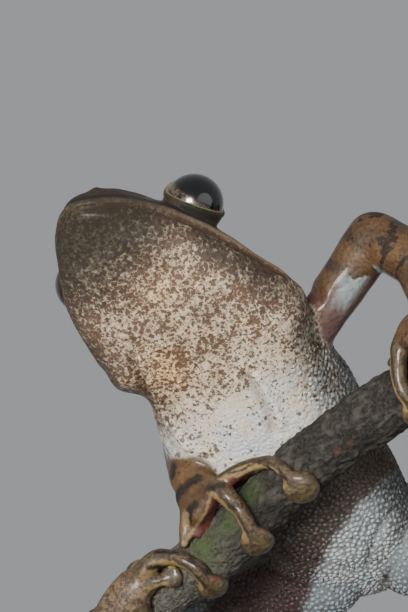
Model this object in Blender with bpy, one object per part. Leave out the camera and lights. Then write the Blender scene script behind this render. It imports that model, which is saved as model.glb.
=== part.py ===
"""A four-lined tree frog, life size, gripping a cut branch on a display stand.

Lengths are in millimetres until a mesh is made, where MM turns them into metres.
Places are given as a viewer in front of the stand sees them: right, up, and near,
which points at the viewer. The viewer looks up at the frog, so "near" also points down.
"""

import math

import bmesh
import bpy
from mathutils import Matrix, Vector

MM = 0.001
GAP = 0.3
# Corners closer than this, in metres, are one corner
MERGE = 0.00001
# The furthest that a sharp corner moves when a surface is grown, in times the distance
SHARP_LIMIT = 1.5

# The viewer's place round the stand, and the point of the frog that is looked at
VIEW_TURN = math.radians(37.1)
VIEW_TILT = math.radians(22.0)
VIEW_CENTRE = Vector((-7.0, -10.0, 92.0))

RIGHT = Vector((math.cos(VIEW_TURN), math.sin(VIEW_TURN), 0.0))
UP = Vector((
    math.sin(VIEW_TILT) * math.sin(VIEW_TURN),
    -math.sin(VIEW_TILT) * math.cos(VIEW_TURN),
    math.cos(VIEW_TILT)))
NEAR = RIGHT.cross(UP)

# Head: the tip of the upper lip, and the head's own directions
SNOUT_TIP = Vector((-13.25, 9.3, 11.0))
HEAD_FORWARD = Vector((-0.67, 0.565, 0.485)).normalized()
HEAD_LEFT = Vector((0.745, 0.53, 0.40)).normalized()
HEAD_LENGTH = 23.0
HEAD_HALF_WIDTH = 10.9
# The arch that the lips make from above: how long it stays wide, and how blunt its tip is
ARCH_FULLNESS = 2.1
ARCH_BLUNTNESS = 0.66
# The upper lip stands this far proud of the lower, whose rim lies this much lower
LIP_STEP = 0.4
LIP_DROP = 0.12
# The head's sides slope inwards to its top, a slope that fades over this stretch of neck
HEAD_TAPER = 0.3
TAPER_END = 30.0
TAPER_FADE = 8.0

# Trunk, from the corner of the jaw back to the vent
TRUNK_FORWARD = Vector((-0.47, 0.70, 0.54)).normalized()
TRUNK_LEFT = Vector((0.881, 0.411, 0.234)).normalized()
TRUNK_LENGTH = 39.0
NECK_START = 21.0
NECK_END = 31.0
HEAD_CUT = 24.0
WAIST_CUT = 47.0

# Distance behind the snout tip against half width, height above and depth below the lips
BACK_HEIGHT = (
    (0.0, 0.4), (0.5, 2.1), (2.0, 3.9), (5.0, 5.1), (9.0, 5.9), (14.0, 6.6), (20.0, 7.0),
    (26.0, 7.4), (33.0, 8.0), (41.0, 8.2), (48.0, 7.4), (55.0, 6.0), (59.5, 3.8), (62.0, 1.2))
BELLY_DEPTH = (
    (0.0, 0.3), (0.5, 0.8), (2.0, 1.5), (5.0, 2.3), (9.0, 3.2), (14.0, 4.2), (20.0, 5.0),
    (26.0, 6.0), (33.0, 7.5), (41.0, 8.3), (48.0, 8.0), (55.0, 5.8), (59.5, 3.4), (62.0, 1.2))
TRUNK_HALF_WIDTH = (
    (23.0, 10.9), (27.0, 10.2), (33.0, 10.5), (41.0, 10.0), (48.0, 9.0), (55.0, 7.8),
    (59.5, 5.0), (62.0, 1.4))
# How far the body leans over its own right side, and how boxy its upper half is
BODY_LEAN = (
    (0.0, 0.0), (4.0, -0.1), (10.0, 0.55), (17.0, 0.8), (22.0, 0.7), (31.0, 1.3), (40.0, 1.2),
    (62.0, 0.0))
BACK_BOXINESS = (
    (0.0, 2.5), (5.0, 3.0), (11.0, 2.4), (16.0, 1.7), (24.0, 1.7), (33.0, 2.2), (62.0, 2.1))
BELLY_BOXINESS_ACROSS = 2.4
BELLY_BOXINESS_DOWN = 2.2
# The body's rings: distances behind the snout tip, close together where it narrows
BODY_RINGS = (
    0.25, 0.8, 1.8, 3.2, 5.0, 7.5, 10.0, 12.5, 15.0, 17.5, 20.0, 22.5, 25.0, 27.5, 30.0, 33.0,
    36.0, 39.0, 42.0, 45.0, 48.0, 51.0, 54.0, 56.5, 58.5, 60.2, 61.4)
HALF_RING_POINTS = 13
SNOUT_ROUNDING = 0.05
VENT_ROUNDING = 0.2

# Eyes, lids, ears and nostrils, in the head's own distances: back, left, up
EYE_PLACE = (10.1, 7.55, 4.1)
EYE_RADIUS = 2.95
EYE_ROWS = 10
LID_THICKNESS = 0.55
LID_REACH = 0.3
# The way an eye looks, as parts of the head's left, up and forward
GAZE = (0.93, 0.22, 0.2)
EAR_PLACE = (18.0, 7.7, 3.2)
EAR_RADIUS = 1.8
EAR_TILT = math.radians(44.0)
EAR_FLATNESS = 0.3
EAR_RECESS_FLATNESS = 0.42
EAR_ROWS = 7
NOSTRIL_PLACE = (1.9, 2.1, 2.9)
NOSTRIL_RADIUS = 0.75
NOSTRIL_ROWS = 5
# The pit's radius, and how far left and up of the bump's middle it is
NOSTRIL_PIT = 0.35
PIT_PLACE = (0.55, 0.25)
PIT_ROWS = 4

# Branch: a point of its axis, its direction, radius, and how far it runs each way
BRANCH_PLACE = Vector((8.5, -18.2, 2.5))
BRANCH_DIRECTION = Vector((0.727, 0.588, 0.355)).normalized()
BRANCH_RADIUS = 3.05
BRANCH_START = -41.0
BRANCH_END = 47.0
BRANCH_SIDES = 16
BRANCH_RINGS = 33
# Places along it against how far its crooked axis lies towards the frog's head
BRANCH_BEND = (
    (-41.0, -0.95), (-14.0, -0.95), (-3.0, -0.05), (3.0, 0.70), (10.0, 0.75), (14.0, 0.45),
    (18.0, 0.10), (47.0, 0.10))
# The bark lies this far inside the radius, and waves by this much on two rates along it
BARK_SLACK = 0.12
BARK_WAVE = 0.10
WAVE_RATE = 0.23
WAVE_TWIST = 0.11

# Stand
BASE_SIZE = Vector((112.0, 96.0, 6.0))
BASE_CORNER = 14.0
BASE_EDGE = 1.0
BASE_EDGE_MIDDLE = 0.3
CORNER_POINTS = 7
ROD_RADIUS = 1.5
ROD_SIDES = 20
ROD_PLACES = (("stand_rod_low", -36.5), ("stand_rod_high", 43.5))

# Fingers and toes: a disc's thickness in its width, and how far above the bark they bend
DISC_FLATNESS = 0.42
DIGIT_LIFT = 1.0
DIGIT_SIDES = 8
TIP_DROP = 0.9
TIP_WIDTH = 0.3
TIP_THICKNESS = 0.35

# How a limb's round end narrows: how far out, and what is left of the radius
ROUND_END = ((0.55, 0.83), (0.86, 0.5))
LIMB_SIDES = 10
HAND_FLATNESS = 0.62

# Shoulders, elbows and wrists as the viewer sees them: right, up, near
SHOULDERS = {"right": Vector((0.2, -11.8, -5.2)), "left": Vector((10.4, -3.2, -1.2))}
ELBOWS = {"right": Vector((-2.5, -14.9, -10.2)), "left": Vector((17.3, 6.9, 0.6))}
WRISTS = {"right": Vector((-1.7, -17.9, -2.4)), "left": Vector((22.6, -1.0, 8.6))}
FOREARM_MIDDLES = {"right": Vector((-2.0, -16.4, -6.6)), "left": Vector((21.2, 4.0, 4.6))}
# The palm's middle and its far end on the branch: along, degrees round, lift
PALMS = {"right": (-7.8, 6.0, 2.0), "left": (21.6, 8.0, 1.9)}
PALM_ENDS = {"right": (-8.6, 16.0, 1.6), "left": (21.0, 22.0, 1.8)}

# Fingers of each hand from the inner one out: the root and the path between as places on the
# branch, then the disc's place, the disc's radius and the finger's radius
FINGERS = {
    "right": (
        ((-6.6, 8.0, 1.4), [(-4.8, -10.0, 1.1)], (-3.4, -38.0), 1.15, 0.62),
        ((-4.6, 20.0, 2.1),
         [(-2.0, 22.8, 1.7), (-0.1, 30.7, 1.2), (1.0, 41.3, 1.0), (2.1, 67.3, 0.95)],
         (2.5, 109.0), 1.8, 0.62),
        ((-5.6, 18.0, 2.1), [(-4.8, 34.2, 1.8), (-4.4, 53.0, 1.3), (-4.2, 77.8, 1.05)],
         (-5.0, 121.0), 1.8, 0.85),
        ((-8.8, 14.0, 1.7), [(-10.6, -4.0, 1.3)], (-12.2, -38.0), 1.2, 0.8)),
    "left": (
        ((20.8, 6.0, 1.5), [(19.0, 4.0, 1.1)], (17.4, 2.0), 1.15, 0.62),
        ((20.4, 12.0, 2.2), [(18.6, 30.0, 1.6), (17.2, 66.0, 1.1)], (16.8, 118.0), 1.7, 0.8),
        ((21.6, 16.0, 2.2), [(21.2, 40.0, 1.4), (21.0, 76.0, 1.1)], (20.9, 124.0), 1.8, 0.85),
        ((22.2, 14.0, 1.9), [(23.4, 26.0, 1.4), (24.2, 40.0, 1.1)], (24.6, 72.0), 1.4, 0.72)),
}
# Radii at a length's root, middle and end
UPPER_ARM_RADII = (2.6, 2.4, 2.4)
FOREARM_RADII = (2.4, 2.3, 1.9)
HAND_RADII = (2.0, 2.4, 1.9)
SHORT_RINGS = 6

# Hips, knees and heels as the viewer sees them
HIPS = {"right": Vector((12.8, -29.8, -17.2)), "left": Vector((23.0, -27.0, -15.5))}
KNEES = {"right": Vector((-11.2, -39.4, -28.0)), "left": Vector((39.0, -3.0, -12.0))}
HEELS = {"right": Vector((2.0, -45.1, -3.5)), "left": Vector((41.1, -12.4, 13.5))}
# The foot on the branch: ankle, middle and the root of the toes
ANKLES = {"right": (-26.5, 90.0, 2.1), "left": (38.0, 96.0, 2.1)}
FOOT_MIDDLES = {"right": (-22.2, 68.0, 1.9), "left": (34.7, 74.0, 1.7)}
FOOT_ENDS = {"right": (-18.8, 56.0, 1.7), "left": (31.4, 60.0, 1.6)}
THIGH_RADII = (4.8, 4.6, 2.8)
SHANK_RADII = (2.6, 3.0, 1.8)
TARSUS_RADII = (1.8, 1.6, 1.5)
FOOT_RADII = (1.6, 2.1, 2.0)
# How far along the thigh and the shank their middle radius is
THIGH_BULGE = 0.45
CALF_BULGE = 0.35

# Toes of each foot from the inner one out, given as the fingers are
TOES = {
    "right": (
        ((-18.9, 46.0, 1.4), [(-18.6, 18.0, 1.2)], (-18.4, -16.0), 1.05, 0.6),
        ((-17.4, 50.0, 1.8),
         [(-15.3, 44.8, 1.9), (-14.1, 48.2, 1.8), (-12.8, 59.7, 1.5), (-12.0, 77.6, 1.2),
          (-11.8, 94.1, 1.1)], (-12.2, 130.0), 1.6, 0.8),
        ((-17.8, 60.8, 1.5), [(-16.2, 66.7, 1.2)], (-14.7, 73.8), 1.12, 0.62),
        ((-19.6, 76.0, 1.5), [(-19.6, 108.0, 1.1)], (-19.2, 150.0), 1.5, 0.72),
        ((-21.0, 88.0, 1.4), [(-22.4, 122.0, 1.1)], (-22.8, 164.0), 1.4, 0.7)),
    "left": (
        ((31.5, 46.0, 1.4), [(31.2, 18.0, 1.2)], (31.0, -16.0), 1.05, 0.6),
        ((30.8, 52.0, 1.7), [(29.4, 66.0, 1.4), (27.9, 92.0, 1.1)], (27.0, 136.0), 1.45, 0.75),
        ((31.4, 66.0, 1.5), [(31.1, 96.0, 1.1)], (30.6, 144.0), 1.5, 0.75),
        ((32.2, 78.0, 1.5), [(32.7, 110.0, 1.1)], (33.2, 158.0), 1.5, 0.72),
        ((33.6, 90.0, 1.4), [(34.4, 120.0, 1.1)], (36.2, 164.0), 1.3, 0.7)),
}

# Finishes: colour and roughness
SKIN_BACK = ((0.36, 0.22, 0.10), 0.45)
SKIN_BELLY = ((0.78, 0.74, 0.66), 0.45)
SKIN_THROAT = ((0.62, 0.52, 0.42), 0.4)
SKIN_DIGIT = ((0.42, 0.27, 0.10), 0.35)
EYE_BLACK = ((0.02, 0.018, 0.015), 0.1)
BARK = ((0.13, 0.13, 0.12), 0.9)
STAND_BLACK = ((0.03, 0.03, 0.032), 0.4)
STAND_METAL = ((0.25, 0.25, 0.26), 0.35)


def world(place):
    """Turns a place seen by the viewer, in millimetres, into the model's metres."""
    moved = RIGHT * place.x + UP * place.y + NEAR * place.z
    return (VIEW_CENTRE + moved) * MM


def smooth_value(table, distance):
    """Reads a table of pairs at a distance, along a curve without overshoot."""
    if distance <= table[0][0]:
        return table[0][1]
    if distance >= table[-1][0]:
        return table[-1][1]
    index = 0
    while table[index + 1][0] < distance:
        index += 1

    def slope(k):
        """Gives the slope of one span of the table."""
        return (table[k + 1][1] - table[k][1]) / (table[k + 1][0] - table[k][0])

    def tangent(k):
        """Gives the curve's slope at one point of the table."""
        if k == 0:
            return slope(0)
        if k == len(table) - 1:
            return slope(k - 1)
        before = slope(k - 1)
        after = slope(k)
        if before * after <= 0.0:
            return 0.0
        return 2.0 * before * after / (before + after)

    span = table[index + 1][0] - table[index][0]
    part = (distance - table[index][0]) / span
    start = table[index][1]
    end = table[index + 1][1]
    square = part * part
    cube = square * part
    return (start * (2 * cube - 3 * square + 1)
            + tangent(index) * span * (cube - 2 * square + part)
            + end * (3 * square - 2 * cube)
            + tangent(index + 1) * span * (cube - square))


def body_axes(distance):
    """Gives forward, left and up at a distance behind the snout tip."""
    part = min(max((distance - NECK_START) / (NECK_END - NECK_START), 0.0), 1.0)
    part = part * part * (3.0 - 2.0 * part)
    forward = HEAD_FORWARD.lerp(TRUNK_FORWARD, part).normalized()
    left = HEAD_LEFT.lerp(TRUNK_LEFT, part)
    left = (left - forward * left.dot(forward)).normalized()
    return forward, left, forward.cross(left)


def body_centre(distance):
    """Gives the middle of the body, level with the lips, at a distance behind the tip."""
    lean = smooth_value(BODY_LEAN, distance)
    if distance <= HEAD_LENGTH:
        return SNOUT_TIP - HEAD_FORWARD * distance - HEAD_LEFT * lean
    jaw = SNOUT_TIP - HEAD_FORWARD * HEAD_LENGTH
    return jaw - TRUNK_FORWARD * (distance - HEAD_LENGTH) - TRUNK_LEFT * lean


def lip_half_width(distance):
    """Gives half the width of the head across the lips, a blunt arch seen from above."""
    part = min(max(distance / HEAD_LENGTH, 0.0), 1.0)
    return HEAD_HALF_WIDTH * (1.0 - (1.0 - part) ** ARCH_FULLNESS) ** ARCH_BLUNTNESS


def half_width(distance):
    """Gives half the width of the head or the trunk."""
    if distance < HEAD_LENGTH:
        return lip_half_width(distance)
    return smooth_value(TRUNK_HALF_WIDTH, distance)


def head_up():
    """Gives the head's own upward direction."""
    return HEAD_FORWARD.cross(HEAD_LEFT).normalized()


def head_place(back, left, up):
    """Gives a place on the head from its distances back, left and up from the lip's tip."""
    return SNOUT_TIP - HEAD_FORWARD * back + HEAD_LEFT * left + head_up() * up


def rounded(part, power):
    """Bends a sine or cosine into that of a rounded box."""
    return math.copysign(abs(part) ** (2.0 / power), part)


def body_ring(distance):
    """Gives one ring of the body: the back from lip to lip, then the belly."""
    forward, left, up = body_axes(distance)
    centre = body_centre(distance)
    width = half_width(distance)
    height = smooth_value(BACK_HEIGHT, distance)
    depth = smooth_value(BELLY_DEPTH, distance)
    head_part = min(max((TAPER_END - distance) / TAPER_FADE, 0.0), 1.0)
    boxiness = smooth_value(BACK_BOXINESS, distance)
    ring = []
    for index in range(HALF_RING_POINTS):
        angle = math.pi * index / (HALF_RING_POINTS - 1)
        across = rounded(math.cos(angle), boxiness)
        rise = rounded(math.sin(angle), boxiness)
        taper = 1.0 - HEAD_TAPER * head_part * rise * rise
        ring.append(centre + left * (width * across * taper) + up * (height * rise))
    lower_width = width - LIP_STEP * head_part * min(width / HEAD_HALF_WIDTH * 2.0, 1.0)
    for index in range(HALF_RING_POINTS):
        angle = math.pi + math.pi * index / (HALF_RING_POINTS - 1)
        across = rounded(math.cos(angle), BELLY_BOXINESS_ACROSS)
        fall = rounded(math.sin(angle), BELLY_BOXINESS_DOWN)
        drop = LIP_DROP * head_part * (1.0 - abs(fall))
        ring.append(centre + left * (lower_width * across) + up * (depth * fall - drop))
    return ring


def clean(mesh_data):
    """Merges doubled corners and turns every face into triangles that point outward."""
    bmesh.ops.remove_doubles(mesh_data, verts=mesh_data.verts, dist=MERGE)
    bmesh.ops.dissolve_degenerate(mesh_data, edges=mesh_data.edges, dist=MERGE)
    bmesh.ops.triangulate(mesh_data, faces=mesh_data.faces)
    bmesh.ops.recalc_face_normals(mesh_data, faces=mesh_data.faces)


def keep_largest(mesh_data):
    """Deletes all but the largest connected surface of a mesh."""
    mesh_data.faces.ensure_lookup_table()
    left = set(mesh_data.faces)
    groups = []
    while left:
        stack = [left.pop()]
        group = list(stack)
        while stack:
            face = stack.pop()
            for edge in face.edges:
                for other in edge.link_faces:
                    if other in left:
                        left.discard(other)
                        group.append(other)
                        stack.append(other)
        groups.append(group)
    groups.sort(key=lambda group: sum(face.calc_area() for face in group))
    loose = [face for group in groups[:-1] for face in group]
    bmesh.ops.delete(mesh_data, geom=loose, context='FACES')


def make_object(name, mesh_data, finish=None):
    """Makes a scene object from mesh data, with a finish of its own."""
    mesh = bpy.data.meshes.new(name)
    mesh_data.to_mesh(mesh)
    mesh_data.free()
    made = bpy.data.objects.new(name, mesh)
    bpy.context.scene.collection.objects.link(made)
    if finish is not None:
        colour, roughness = finish
        material = bpy.data.materials.new(name)
        material.use_nodes = True
        shader = material.node_tree.nodes["Principled BSDF"]
        shader.inputs["Base Color"].default_value = (*colour, 1.0)
        shader.inputs["Roughness"].default_value = roughness
        shader.inputs["Metallic"].default_value = 0.0
        mesh.materials.append(material)
    return made


def loft(rings, start_tip, end_tip):
    """Makes closed mesh data through rings of places, with a tip at each end."""
    data = bmesh.new()
    rows = [[data.verts.new(world(place)) for place in ring] for ring in rings]
    count = len(rings[0])
    for first, second in zip(rows, rows[1:]):
        for index in range(count):
            after = (index + 1) % count
            data.faces.new((first[index], first[after], second[after], second[index]))
    for row, tip in ((rows[0], start_tip), (rows[-1], end_tip)):
        corner = data.verts.new(world(tip))
        for index in range(count):
            data.faces.new((row[index], row[(index + 1) % count], corner))
    clean(data)
    return data


def grown(data, distance):
    """Copies mesh data and moves its surface outward by a distance."""
    copy = data.copy()
    copy.normal_update()
    moves = [vertex.normal * (distance * MM * min(vertex.calc_shell_factor(), SHARP_LIMIT))
             for vertex in copy.verts]
    for vertex, move in zip(copy.verts, moves):
        vertex.co += move
    return copy


def combine(data, other, operation):
    """Joins, cuts or crosses two closed meshes and keeps the largest surface."""
    first = make_object("first", data)
    second = make_object("second", other.copy())
    modifier = first.modifiers.new("combine", 'BOOLEAN')
    modifier.operation = operation
    modifier.solver = 'EXACT'
    modifier.object = second
    bpy.context.view_layer.update()
    shape = first.evaluated_get(bpy.context.evaluated_depsgraph_get())
    result = bmesh.new()
    result.from_mesh(shape.to_mesh())
    shape.to_mesh_clear()
    for spent in (first, second):
        mesh = spent.data
        bpy.data.objects.remove(spent)
        bpy.data.meshes.remove(mesh)
    clean(result)
    keep_largest(result)
    return result


def sliced(data, place, direction):
    """Cuts mesh data by a plane and keeps the side that the direction points to."""
    normal = RIGHT * direction.x + UP * direction.y + NEAR * direction.z
    geometry = data.verts[:] + data.edges[:] + data.faces[:]
    bmesh.ops.bisect_plane(
        data, geom=geometry, dist=MERGE / 10.0, plane_co=world(place), plane_no=normal,
        clear_inner=True)
    rim = [edge for edge in data.edges if edge.is_boundary]
    bmesh.ops.holes_fill(data, edges=rim, sides=0)
    clean(data)
    return data


def ball(place, radius, rows, flatness=1.0, tilt=0.0):
    """Makes a ball of mesh data, flattened along the head's left after a tilt upward."""
    data = bmesh.new()
    bmesh.ops.create_uvsphere(data, u_segments=rows * 2, v_segments=rows, radius=radius * MM)
    outward = HEAD_LEFT * math.cos(tilt) + head_up() * math.sin(tilt)
    upward = head_up() * math.cos(tilt) - HEAD_LEFT * math.sin(tilt)
    columns = []
    for axis, stretch in ((outward, flatness), (HEAD_FORWARD, 1.0), (upward, 1.0)):
        columns.append((RIGHT * axis.x + UP * axis.y + NEAR * axis.z) * stretch)
    turn = Matrix(columns).transposed()
    for vertex in data.verts:
        vertex.co = turn @ vertex.co + world(place)
    clean(data)
    return data


def hull(data):
    """Gives the tight convex surface round mesh data; grown, it never crosses itself."""
    result = bmesh.new()
    for vertex in data.verts:
        result.verts.new(vertex.co)
    data.free()
    found = bmesh.ops.convex_hull(result, input=result.verts)
    spare = {item for item in found["geom_interior"] + found["geom_unused"]
             if isinstance(item, bmesh.types.BMVert)}
    bmesh.ops.delete(result, geom=list(spare), context='VERTS')
    clean(result)
    return result


def curve_points(rows, count):
    """Reads evenly spaced rows of numbers from a smooth curve through a few such rows."""
    result = []
    spans = len(rows) - 1
    for step in range(count):
        along = spans * step / (count - 1)
        index = min(int(along), spans - 1)
        part = along - index
        before = rows[max(index - 1, 0)]
        start = rows[index]
        end = rows[index + 1]
        after = rows[min(index + 2, spans)]
        square = part * part
        cube = square * part
        mixed = []
        for a, b, c, d in zip(before, start, end, after):
            mixed.append(0.5 * (2 * b + (c - a) * part + (2 * a - 5 * b + 4 * c - d) * square
                                + (3 * b - a - 3 * c + d) * cube))
        result.append(mixed)
    return result


def tube_rings(stations, sides):
    """Gives rings round a path of (place, half width, half thickness, flat side's normal)."""
    rings = []
    last = len(stations) - 1
    side = None
    for index, (place, wide, thick, normal) in enumerate(stations):
        ahead = (stations[min(index + 1, last)][0] - stations[max(index - 1, 0)][0]).normalized()
        if normal is None:
            if side is None:
                side = ahead.orthogonal()
            side = (side - ahead * side.dot(ahead)).normalized()
            face = ahead.cross(side)
        else:
            face = (normal - ahead * normal.dot(ahead)).normalized()
            side = face.cross(ahead)
        ring = []
        for step in range(sides):
            angle = 2.0 * math.pi * step / sides
            ring.append(place + side * (wide * math.cos(angle)) + face * (thick * math.sin(angle)))
        rings.append(ring)
    return rings


def limb_segment(places, radii, rings=8, flat_normal=None, flatness=1.0):
    """Makes one round-ended length of limb through three places with their radii."""
    rows = curve_points([(*place, radius) for place, radius in zip(places, radii)], rings)
    stations = []
    for row in rows:
        stations.append((Vector(row[:3]), row[3], row[3] * flatness, flat_normal))
    start_caps, start_tip = round_end(stations[0], stations[1])
    end_caps, end_tip = round_end(stations[-1], stations[-2])
    stations = list(reversed(start_caps)) + stations + end_caps
    return loft(tube_rings(stations, LIMB_SIDES), start_tip, end_tip)


def round_end(last, before):
    """Gives the rings and the tip that round off a limb past its last ring."""
    place, wide, thick, normal = last
    ahead = (place - before[0]).normalized()
    caps = [(place + ahead * (wide * far), wide * size, thick * size, normal)
            for far, size in ROUND_END]
    return caps, place + ahead * wide


def branch_axis(along):
    """Gives a place on the branch's axis, which is a little crooked."""
    bend = branch_sides()[0] * smooth_value(BRANCH_BEND, along)
    return BRANCH_PLACE + BRANCH_DIRECTION * along + bend


def branch_sides():
    """Gives the branch's two cross directions: towards the frog's head, and near."""
    head_side = Vector((-BRANCH_DIRECTION.y, BRANCH_DIRECTION.x, 0.0)).normalized()
    near_side = BRANCH_DIRECTION.cross(head_side)
    if near_side.z < 0.0:
        near_side = -near_side
    return head_side, near_side


def on_branch(along, angle, lift):
    """Gives a place above the bark, by degrees from the head's side towards the viewer."""
    head_side, near_side = branch_sides()
    turn = math.radians(angle)
    outward = head_side * math.cos(turn) + near_side * math.sin(turn)
    return branch_axis(along) + outward * (BRANCH_RADIUS + lift), outward


def digit(root, path, tip, disc_radius, radius):
    """Makes a finger or toe that lies round the branch and ends in a round disc.

    root and path hold (along, angle, lift), and tip holds the disc's (along, angle).
    """
    reach = BRANCH_RADIUS + DIGIT_LIFT
    before = path[-1] if path else root
    step_along = tip[0] - before[0]
    step_round = math.radians(tip[1] - before[1]) * reach
    length = math.hypot(step_along, step_round)
    over = disc_radius / length
    end_along = tip[0] + step_along * over
    end_angle = tip[1] + math.degrees(step_round * over / reach)
    low = disc_radius * DISC_FLATNESS + GAP
    knots = [root, *path, (tip[0], tip[1], low), (end_along, end_angle, low * TIP_DROP)]
    samples = curve_points(knots, 5 + 4 * len(knots))
    places = [on_branch(*sample)[0] for sample in samples]
    normals = [on_branch(*sample)[1] for sample in samples]
    centre = on_branch(tip[0], tip[1], low)[0]
    stations = []
    for place, normal in zip(places[:-1], normals[:-1]):
        away = (place - centre).length
        disc = math.sqrt(max(disc_radius ** 2 - away ** 2, 0.0))
        wide = (radius ** 4 + disc ** 4) ** 0.25
        if away < (places[-1] - place).length or disc < radius:
            thick = radius + (disc_radius * DISC_FLATNESS - radius) * disc / disc_radius
        else:
            wide = max(disc, TIP_WIDTH)
            fullness = TIP_THICKNESS + (1.0 - TIP_THICKNESS) * disc / disc_radius
            thick = disc_radius * DISC_FLATNESS * fullness
        stations.append((place, wide, thick, normal))
    return loft(tube_rings(stations, DIGIT_SIDES), places[0], places[-1])


def bisector(before, joint, after):
    """Gives the direction of the plane that parts two lengths of a limb at a joint."""
    return ((joint - before).normalized() + (after - joint).normalized()).normalized()


def part_limb(pieces, joints):
    """Cuts a chain of limb lengths at their inner joints, each leaving the gap."""
    for index in range(1, len(joints) - 1):
        normal = bisector(joints[index - 1], joints[index], joints[index + 1])
        shift = normal * (GAP / 2.0)
        pieces[index - 1] = sliced(pieces[index - 1], joints[index] - shift, -normal)
        pieces[index] = sliced(pieces[index], joints[index] + shift, normal)
    return pieces


def add_eye(head, name, side):
    """Makes one eye, and gives the head its lids and socket."""
    back, left, up = EYE_PLACE
    eye_place = head_place(back, left * side, up)
    gaze_left, gaze_up, gaze_forward = GAZE
    gaze = (HEAD_LEFT * (side * gaze_left) + head_up() * gaze_up
            + HEAD_FORWARD * gaze_forward).normalized()
    lid = ball(eye_place, EYE_RADIUS + GAP + LID_THICKNESS, EYE_ROWS)
    lid = sliced(lid, eye_place + gaze * LID_REACH, -gaze)
    head = combine(head, lid, 'UNION')
    lid.free()
    socket = ball(eye_place, EYE_RADIUS + GAP, EYE_ROWS)
    head = combine(head, socket, 'DIFFERENCE')
    socket.free()
    make_object("eye_" + name, ball(eye_place, EYE_RADIUS, EYE_ROWS), EYE_BLACK)
    return head


def add_ear(head, name, side):
    """Makes one ear's round drum, and sinks its recess into the head."""
    back, left, up = EAR_PLACE
    ear_place = head_place(back, left * side, up)
    tilt = EAR_TILT * side
    recess = ball(ear_place, EAR_RADIUS + GAP, EAR_ROWS, EAR_RECESS_FLATNESS, tilt)
    head = combine(head, recess, 'DIFFERENCE')
    recess.free()
    ear = ball(ear_place, EAR_RADIUS, EAR_ROWS, EAR_FLATNESS, tilt)
    make_object("tympanum_" + name, ear, SKIN_BACK)
    return head


def add_nostril(head, side):
    """Raises one nostril's bump on the snout and sinks its pit."""
    back, left, up = NOSTRIL_PLACE
    bump = ball(head_place(back, left * side, up), NOSTRIL_RADIUS, NOSTRIL_ROWS)
    head = combine(head, bump, 'UNION')
    bump.free()
    pit_left, pit_up = PIT_PLACE
    pit_place = head_place(back, (left + pit_left) * side, up + pit_up)
    pit = ball(pit_place, NOSTRIL_PIT, PIT_ROWS)
    head = combine(head, pit, 'DIFFERENCE')
    pit.free()
    return head


def make_body():
    """Makes the head, lower jaw, trunk, eyes and ears; returns the whole body's surface."""
    rings = [body_ring(distance) for distance in BODY_RINGS]
    vent = body_centre(HEAD_LENGTH + TRUNK_LENGTH + VENT_ROUNDING)
    whole = loft(rings, SNOUT_TIP + HEAD_FORWARD * SNOUT_ROUNDING, vent)

    cut_forward = body_axes(HEAD_CUT)[0]
    head = sliced(whole.copy(), body_centre(HEAD_CUT), cut_forward)
    jaw = sliced(head.copy(), head_place(0.0, 0.0, -GAP / 2.0), -head_up())
    head = sliced(head, head_place(0.0, 0.0, GAP / 2.0), head_up())
    torso = sliced(whole.copy(), body_centre(HEAD_CUT + GAP), -cut_forward)
    waist_forward = body_axes(WAIST_CUT)[0]
    pelvis = sliced(torso.copy(), body_centre(WAIST_CUT + GAP), -waist_forward)
    torso = sliced(torso, body_centre(WAIST_CUT), waist_forward)

    for name, side in (("left", 1.0), ("right", -1.0)):
        head = add_eye(head, name, side)
        head = add_ear(head, name, side)
        head = add_nostril(head, side)

    make_object("head", head, SKIN_BACK)
    make_object("lower_jaw", jaw, SKIN_THROAT)
    make_object("torso", torso, SKIN_BELLY)
    make_object("pelvis", pelvis, SKIN_BELLY)
    return whole


def make_digits(word, side, roots, digits):
    """Makes the fingers or toes of one side, each cut clear of what it grows from."""
    neighbours = [grown(root, GAP) for root in roots]
    for number, (root, path, tip, disc_radius, radius) in enumerate(digits, start=1):
        piece = digit(root, path, tip, disc_radius, radius)
        following = grown(piece, GAP)
        for neighbour in neighbours:
            piece = combine(piece, neighbour, 'DIFFERENCE')
        neighbours.append(following)
        make_object(f"{word}_{side}_{number}", piece, SKIN_DIGIT)
    for neighbour in neighbours:
        neighbour.free()


def make_arm(side, body):
    """Makes the upper arm, forearm, hand and fingers of one side."""
    shoulder, elbow, wrist = SHOULDERS[side], ELBOWS[side], WRISTS[side]
    palm, facing = on_branch(*PALMS[side])
    palm_end = on_branch(*PALM_ENDS[side])[0]
    upper = limb_segment((shoulder, shoulder.lerp(elbow, 0.5), elbow), UPPER_ARM_RADII)
    lower = limb_segment((elbow, FOREARM_MIDDLES[side], wrist), FOREARM_RADII)
    hand = hull(limb_segment(
        (wrist, palm, palm_end), HAND_RADII, SHORT_RINGS, facing, HAND_FLATNESS))
    pieces = part_limb([upper, lower, hand], [shoulder, elbow, wrist, palm])
    body_clear = grown(body, GAP)
    for name, piece in zip(("upper_arm_", "forearm_", "hand_"), pieces):
        finish = SKIN_DIGIT if name == "hand_" else SKIN_BACK
        trimmed = combine(piece.copy(), body_clear, 'DIFFERENCE')
        make_object(name + side, trimmed, finish)
    make_digits("finger", side, [*pieces[1:3], body], FINGERS[side])
    body_clear.free()


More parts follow.
